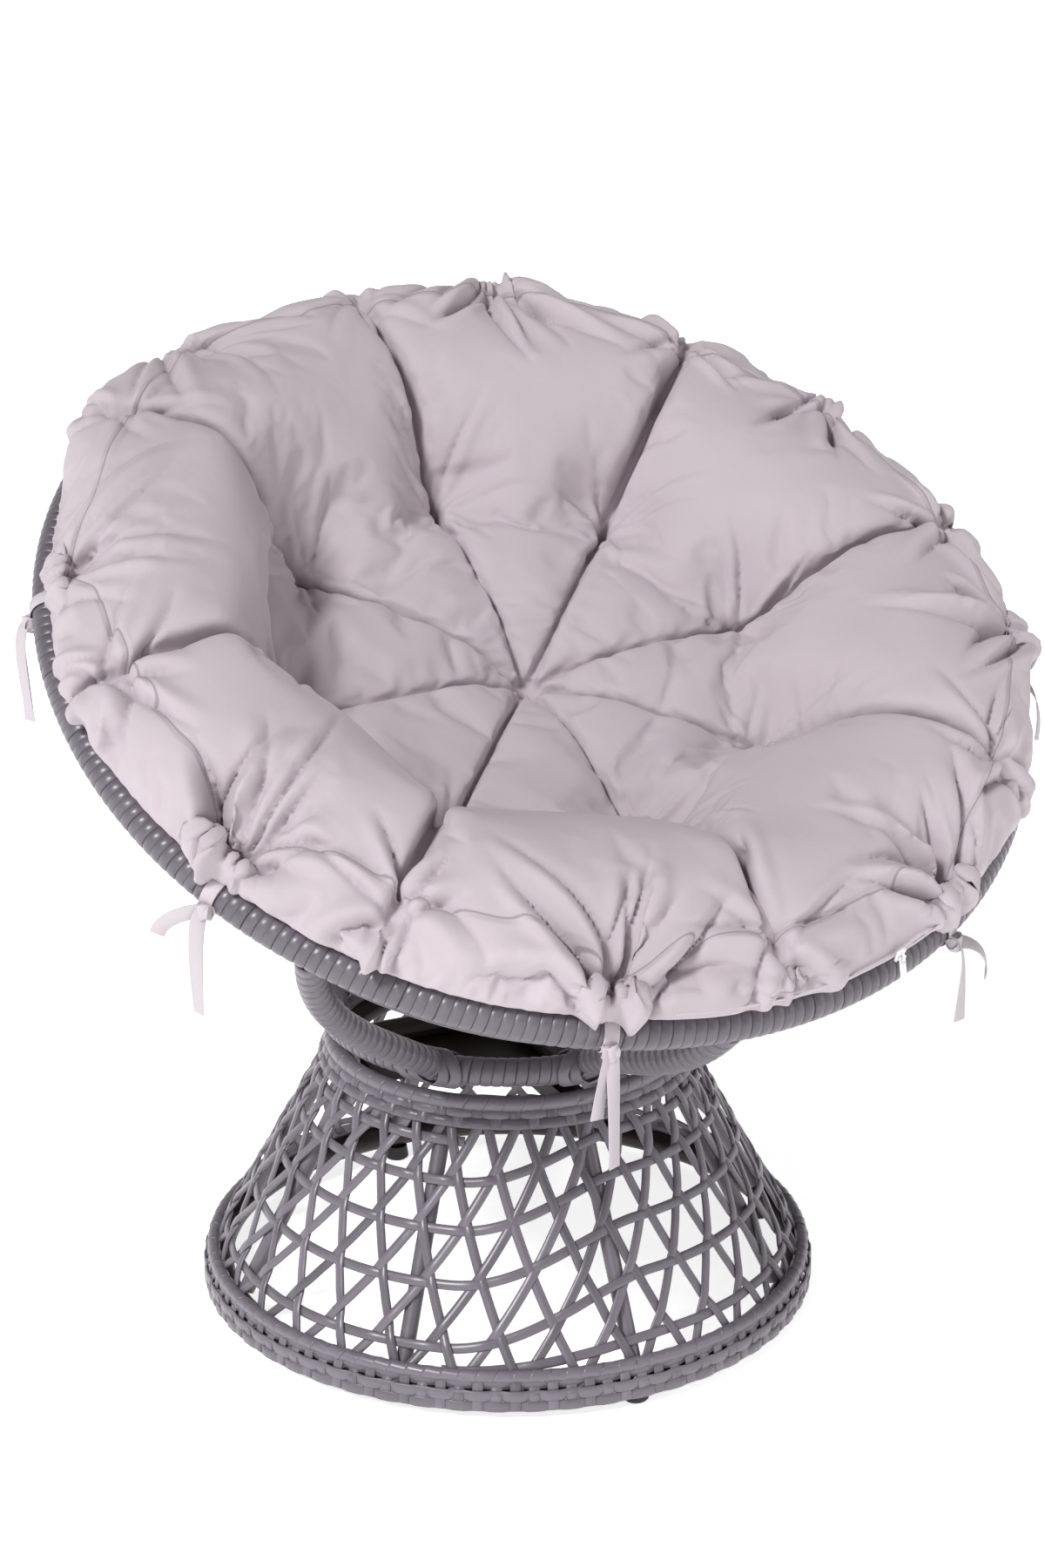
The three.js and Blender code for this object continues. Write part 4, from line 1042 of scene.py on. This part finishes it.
def swell(piece, sizes):
    """Lets the filling press the cover out, up to the swell limit and less by the middle; then folds it."""
    scene = bpy.context.scene
    grain = piece.modifiers.new("grain", "REMESH")
    grain.mode, grain.voxel_size, grain.adaptivity = "VOXEL", sizes.voxel, 0
    settle(piece)
    before = vectors_of(piece.data)
    levels = np.round(cover_holds(before, sizes) * HOLD_LEVELS).astype(int)
    group = piece.vertex_groups.new(name="hold")
    for level in range(1, HOLD_LEVELS + 1):
        members = np.nonzero(levels == level)[0]
        if len(members):
            group.add(members.tolist(), level / HOLD_LEVELS, "REPLACE")
    add_filling(piece, sizes)
    for frame_number in range(1, sizes.frames + 1):
        scene.frame_set(frame_number)
    settle(piece)
    scene.frame_set(1)
    moved = vectors_of(piece.data) - before
    far = np.linalg.norm(moved, axis=1, keepdims=True)
    reach = sizes.reach * (0.3 + 0.7 * smooth(np.hypot(before[:, :1], before[:, 1:2]), 0.15, 0.32))
    places = before + moved * np.minimum(1, reach / np.maximum(far, 1e-9))
    put_places(piece.data, clear_of_rim(places))
    piece.vertex_groups.clear()
    finer = piece.modifiers.new("finer", "SUBSURF")
    finer.levels = finer.render_levels = 1
    settle(piece)
    outs = vectors_of(piece.data, "normal")
    drawn_in = pinch(vectors_of(piece.data), sizes)
    put_places(piece.data, clear_of_rim(fold_cover(drawn_in, outs, sizes)))


def upperness(x, y, z, sizes):
    """1 on the cover's upper side, 0 on its underside."""
    return smooth(z - cushion_top(x, y, sizes), -0.03, -0.01) * smooth(z, -0.09, -0.06)


def pinch(places, sizes):
    """Draws the cover in towards its creases, which makes them narrow."""
    x, y, z = places.T.copy()
    radius = np.hypot(x, y)
    region = upperness(x, y, z, sizes) * smooth(radius, 0.01, 0.05) * (1 - smooth(radius, 0.40, 0.45))
    inner, outer = crease_lines(sizes)
    for line in inner + outer:
        across, away = from_line(x, y, *line)
        pull = PINCH * region * np.exp(-(np.hypot(across, away) / PINCH_WIDE) ** 2)
        x, y = x - across * pull, y - away * pull
    return np.stack([x, y, z], 1)


def fold_cover(places, outs, sizes, seed=5):
    """Sharp creases along the lines of the tufts, and folds that run out from the tufts and the ties."""
    rng = random.Random(seed)
    x, y, z = places.T
    radius = np.hypot(x, y)
    upper = upperness(x, y, z, sizes)
    outer_side = np.maximum(smooth(radius, 0.40, 0.44) * smooth(z, 0.022, 0.034), upper)

    def sharp(lines, size):
        return upper * size[0] * np.exp(-nearest(x, y, lines) / size[1])

    inner, outer = crease_lines(sizes)
    rise = -sharp(inner, INNER_CREASE)
    rise -= sharp(outer, OUTER_CREASE) * (1 - smooth(radius, 0.38, 0.45))

    def fan(centre, folds, calm, first, sweep, region):
        """Folds about one point: each has a round back and a sharp valley beside it."""
        count, reach, tall, wide = folds
        tall = tall * calm
        across, away = x - centre[0], y - centre[1]
        far, angle = np.hypot(across, away), np.arctan2(across, -away)
        for i in range(count):
            way = first + sweep * (i + rng.uniform(0.15, 0.85)) / count
            length, size = reach * rng.uniform(0.55, 1.15), tall * rng.uniform(0.5, 1.2)
            bend = rng.uniform(-3, 3)
            aside = (angle - way - bend * far + math.pi) % TURN - math.pi
            off = aside * far / (wide * rng.uniform(0.7, 1.2))
            shape = np.exp(-off ** 2) - 1.3 * np.exp(-2.4 * np.abs(off - rng.choice((-1.5, 1.5))))
            ends = smooth(far, 0.004, 0.02) * (1 - smooth(far, length * 0.35, length))
            rise[:] += region * size * shape * ends

    def calm(turn):
        """The folds are lower by the corner."""
        return 0.5 if math.cos(turn - CORNER) > 0.7 else 1.0

    fan((0, 0), MIDDLE_FOLDS, 1.0, rng.uniform(0, TURN), TURN, upper)
    for centre in tuft_places(sizes):
        fan(centre, TUFT_FOLDS, 1.0, rng.uniform(0, TURN), TURN, upper)
    for i, centre in enumerate(circle_places(BAND_TOP + 0.012, TIE_TURN, TIES)):
        turn = TIE_TURN + i * TURN / TIES
        fan(centre, TIE_FOLDS, calm(turn), turn + math.pi * 0.55, math.pi * 0.9, outer_side)
    for i, centre in enumerate(circle_places(BAND_TOP - 0.02, TUFT_TURN, TUFTS)):
        turn = TUFT_TURN + i * TURN / TUFTS
        fan(centre, EDGE_FOLDS, calm(turn), rng.uniform(0, TURN), TURN, outer_side)
    return places + outs * rise[:, None]


def clear_of_rim(places):
    """Points that the filling pushed into the rim go back to its surface."""
    radius = np.hypot(places[:, 0], places[:, 1])
    across = np.stack([radius - RIM_RADIUS, places[:, 2]], 1)
    far = np.linalg.norm(across, axis=1, keepdims=True)
    clear = RIM_TUBE + RIM_CLEAR
    across = np.where(far < clear, across / np.maximum(far, 1e-9) * clear, across)
    scale = (across[:, 0] + RIM_RADIUS) / np.maximum(radius, 1e-9)
    return np.stack([places[:, 0] * scale, places[:, 1] * scale, across[:, 1]], 1)


class CHAIR_OT_cushion(bpy.types.Operator):
    """The tufted cushion, swelled by its filling"""
    bl_idname = "chair.cushion"
    bl_label = "Cushion"

    def execute(self, context):
        sizes = context.scene.chair_cushion
        piece = add_object("cushion_cover", cushion_body(sizes))
        swell(piece, sizes)
        piece.data.transform(RIM)
        piece.data.materials.append(finish_of("cloth"))
        fit(piece, "seat", "cushion_fabric", ["cushion"])
        return {"FINISHED"}


# Ties. How far each one's two tails reach: (along the rim, away from it, down)
TAILS = (
    ((0.004, 0.004, 0.108), (-0.012, 0.010, 0.060)), ((0.045, 0.020, 0.045), (0.010, 0.006, 0.080)),
    ((0.010, 0.008, 0.090), (-0.030, 0.016, 0.050)), ((0.020, 0.010, 0.085), (-0.020, 0.014, 0.065)),
    ((-0.010, 0.008, 0.095), (0.030, 0.016, 0.050)), ((0.015, 0.010, 0.085), (-0.025, 0.012, 0.060)),
    ((-0.006, 0.006, 0.095), (0.012, 0.010, 0.070)), ((-0.048, 0.016, 0.030), (-0.006, 0.008, 0.095)),
)
TAPE_WIDE, TAPE_THICK, CUT_WIDE = 0.0138, 0.0011, 0.014
LOOP_START, LOOP_SWEEP = -112, 232    # degrees round the rim's tube that a tape covers
KNOT_TURNS = 0.0062, 0.0050           # radii of a knot's two turns
KNOT_SPARE = 0.003                    # tape that a closed turn takes beyond its own line


class CHAIR_OT_ties(bpy.types.Operator):
    """Tapes that hold the cushion to the rim, each with its knot and tails"""
    bl_idname = "chair.ties"
    bl_label = "Ties"

    def tail(self, start, aside, along, reach, turn):
        """A tail that leaves the knot, bends over and twists a little; reach is (along, aside, down)."""
        over, out, down = reach
        points = [start, start + aside * 0.010 + (along * over + aside * out) * 0.35,
                  start + along * over * 0.8 + aside * out + Vector((0, 0, -0.5 * down)),
                  start + along * over + aside * out * 0.6 + Vector((0, 0, -down))]

        def places():
            for t in (k / 18 for k in range(19)):
                way = (bezier(points, min(t + 0.01, 1)) - bezier(points, max(t - 0.01, 0))).normalized()
                look = (aside + along * 0.8 * math.sin(turn + 1.6 * t)).normalized()
                yield bezier(points, t), (look - way * look.dot(way)).normalized()

        return path(places())

    def loop(self, centre, out, top):
        """The tape's way round the rim's tube."""
        def places():
            for k in range(21):
                turn = math.radians(LOOP_START + LOOP_SWEEP * k / 20)
                look = out * math.cos(turn) - top * math.sin(turn)
                yield centre + look * (RIM_TUBE + 0.0016), look

        return path(places())

    def knot(self, middle, aside, one, other, size, shift):
        """One closed turn of the knot, which waves across its own plane."""
        def places():
            for turn in (TURN * step / 16 for step in range(16)):
                look = aside * math.cos(turn) + one * math.sin(turn)
                yield middle + look * size + other * 0.0016 * math.sin(2 * turn + shift), look

        return path(places(), True)

    def execute(self, context):
        for i, tails in enumerate(TAILS):
            angle = TIE_TURN + i * TURN / TIES
            centre, top, out = rim_point(RIM_RADIUS, angle), rim_way(0, angle, 1), rim_way(1, angle)
            aside = Vector((out.x, out.y, 0)).normalized()
            along = UP.cross(aside)
            drop = -UP - out * (-UP).dot(out) * 0.5
            middle = centre + (aside * 0.85 + drop * 0.5).normalized() * (RIM_TUBE + 0.0055)
            paths = [self.loop(centre, out, top)]
            paths += [self.tail(middle, aside, along, reach, i + k) for k, reach in enumerate(tails)]
            paths += [self.knot(middle, aside, one, other, KNOT_TURNS[k], k)
                      for k, (one, other) in enumerate(((along, UP), (UP, along)))]
            name = f"tie_{i + 1}"
            piece = cane(f"{name}_tape", paths, TAPE, TAPE_WIDE, TAPE_THICK, 0.3, 8, [name], i)
            lengths = (sum((b - a).length for a, b in zip(line, line[1:])) + (KNOT_SPARE if closed else 0)
                       for line, _, closed in paths)
            sum(lengths)
        return {"FINISHED"}


# The zip's coil, which waves a little in and out
COIL_RADIUS, COIL_WAVE, COIL_HEIGHT, COIL_STEPS = 0.4742, 0.0003, 0.039, 260
COIL_START, COIL_SWEEP = -9, 36    # degrees


class CHAIR_OT_zip(bpy.types.Operator):
    """Coil of the zip in the boxing band"""
    bl_idname = "chair.zip"
    bl_label = "Zip"

    def execute(self, context):
        def places():
            for k in range(COIL_STEPS + 1):
                angle = math.radians(COIL_START + COIL_SWEEP * k / COIL_STEPS)
                radius = COIL_RADIUS + COIL_WAVE * math.cos(k * math.pi)
                yield rim_point(radius, angle, COIL_HEIGHT), rim_way(1, angle)

        cane("zip_coil", [path(places())], TAPE, 0.0034, 0.0014, 0.6, 8)
        return {"FINISHED"}


# Finishes of the nodes by the start of their name; those that a piece replaces get one too
NODE_FINISHES = {
    "ball": "bright", "seat_bolt": "bright", "swivel_rivet": "bright", "foot": "glide", "zip": "zip",
    "swivel": "steel", "base_cross": "steel", "seat_cross": "steel", "base": "cane", "seat": "cane",
    "bowl": "cane", "rim": "cane", "cushion": "cloth", "tie": "tape",
}


class CHAIR_OT_hardware(bpy.types.Operator):
    """Finishes of the swivel, the feet and the zip, which keep their own shape"""
    bl_idname = "chair.hardware"
    bl_label = "Hardware"

    def execute(self, context):
        for name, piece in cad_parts.items():
            kind = next(finish for start, finish in NODE_FINISHES.items() if name.startswith(start))
            piece.data.materials.clear()
            piece.data.materials.append(finish_of(kind))
        return {"FINISHED"}


class CHAIR_PT_panel(bpy.types.Panel):
    bl_label = "Round swivel chair"
    bl_idname = "CHAIR_PT_panel"
    bl_space_type = "VIEW_3D"
    bl_region_type = "UI"
    bl_category = "Chair"

    def draw(self, context):
        for name, group in GROUPS.items():
            box = self.layout.box()
            for key in group.__annotations__:
                box.prop(getattr(context.scene, name), key)
        for operator in OPERATORS:
            self.layout.operator(operator.bl_idname)


OPERATORS = (CHAIR_OT_stage, CHAIR_OT_hardware, CHAIR_OT_wound_tubes, CHAIR_OT_base_weave,
             CHAIR_OT_base_borders, CHAIR_OT_bowl, CHAIR_OT_cushion, CHAIR_OT_ties, CHAIR_OT_zip)
CLASSES = (*GROUPS.values(), *OPERATORS, CHAIR_PT_panel)


def register():
    for made in CLASSES:
        bpy.utils.register_class(made)
    for name, group in GROUPS.items():
        setattr(bpy.types.Scene, name, PointerProperty(type=group))


def unregister():
    for name in GROUPS:
        delattr(bpy.types.Scene, name)
    for made in reversed(CLASSES):
        bpy.utils.unregister_class(made)


def main():
    register()
    for operator in OPERATORS:
        getattr(bpy.ops.chair, operator.bl_idname.split(".")[1])()


if __name__ == "__main__":
    main()
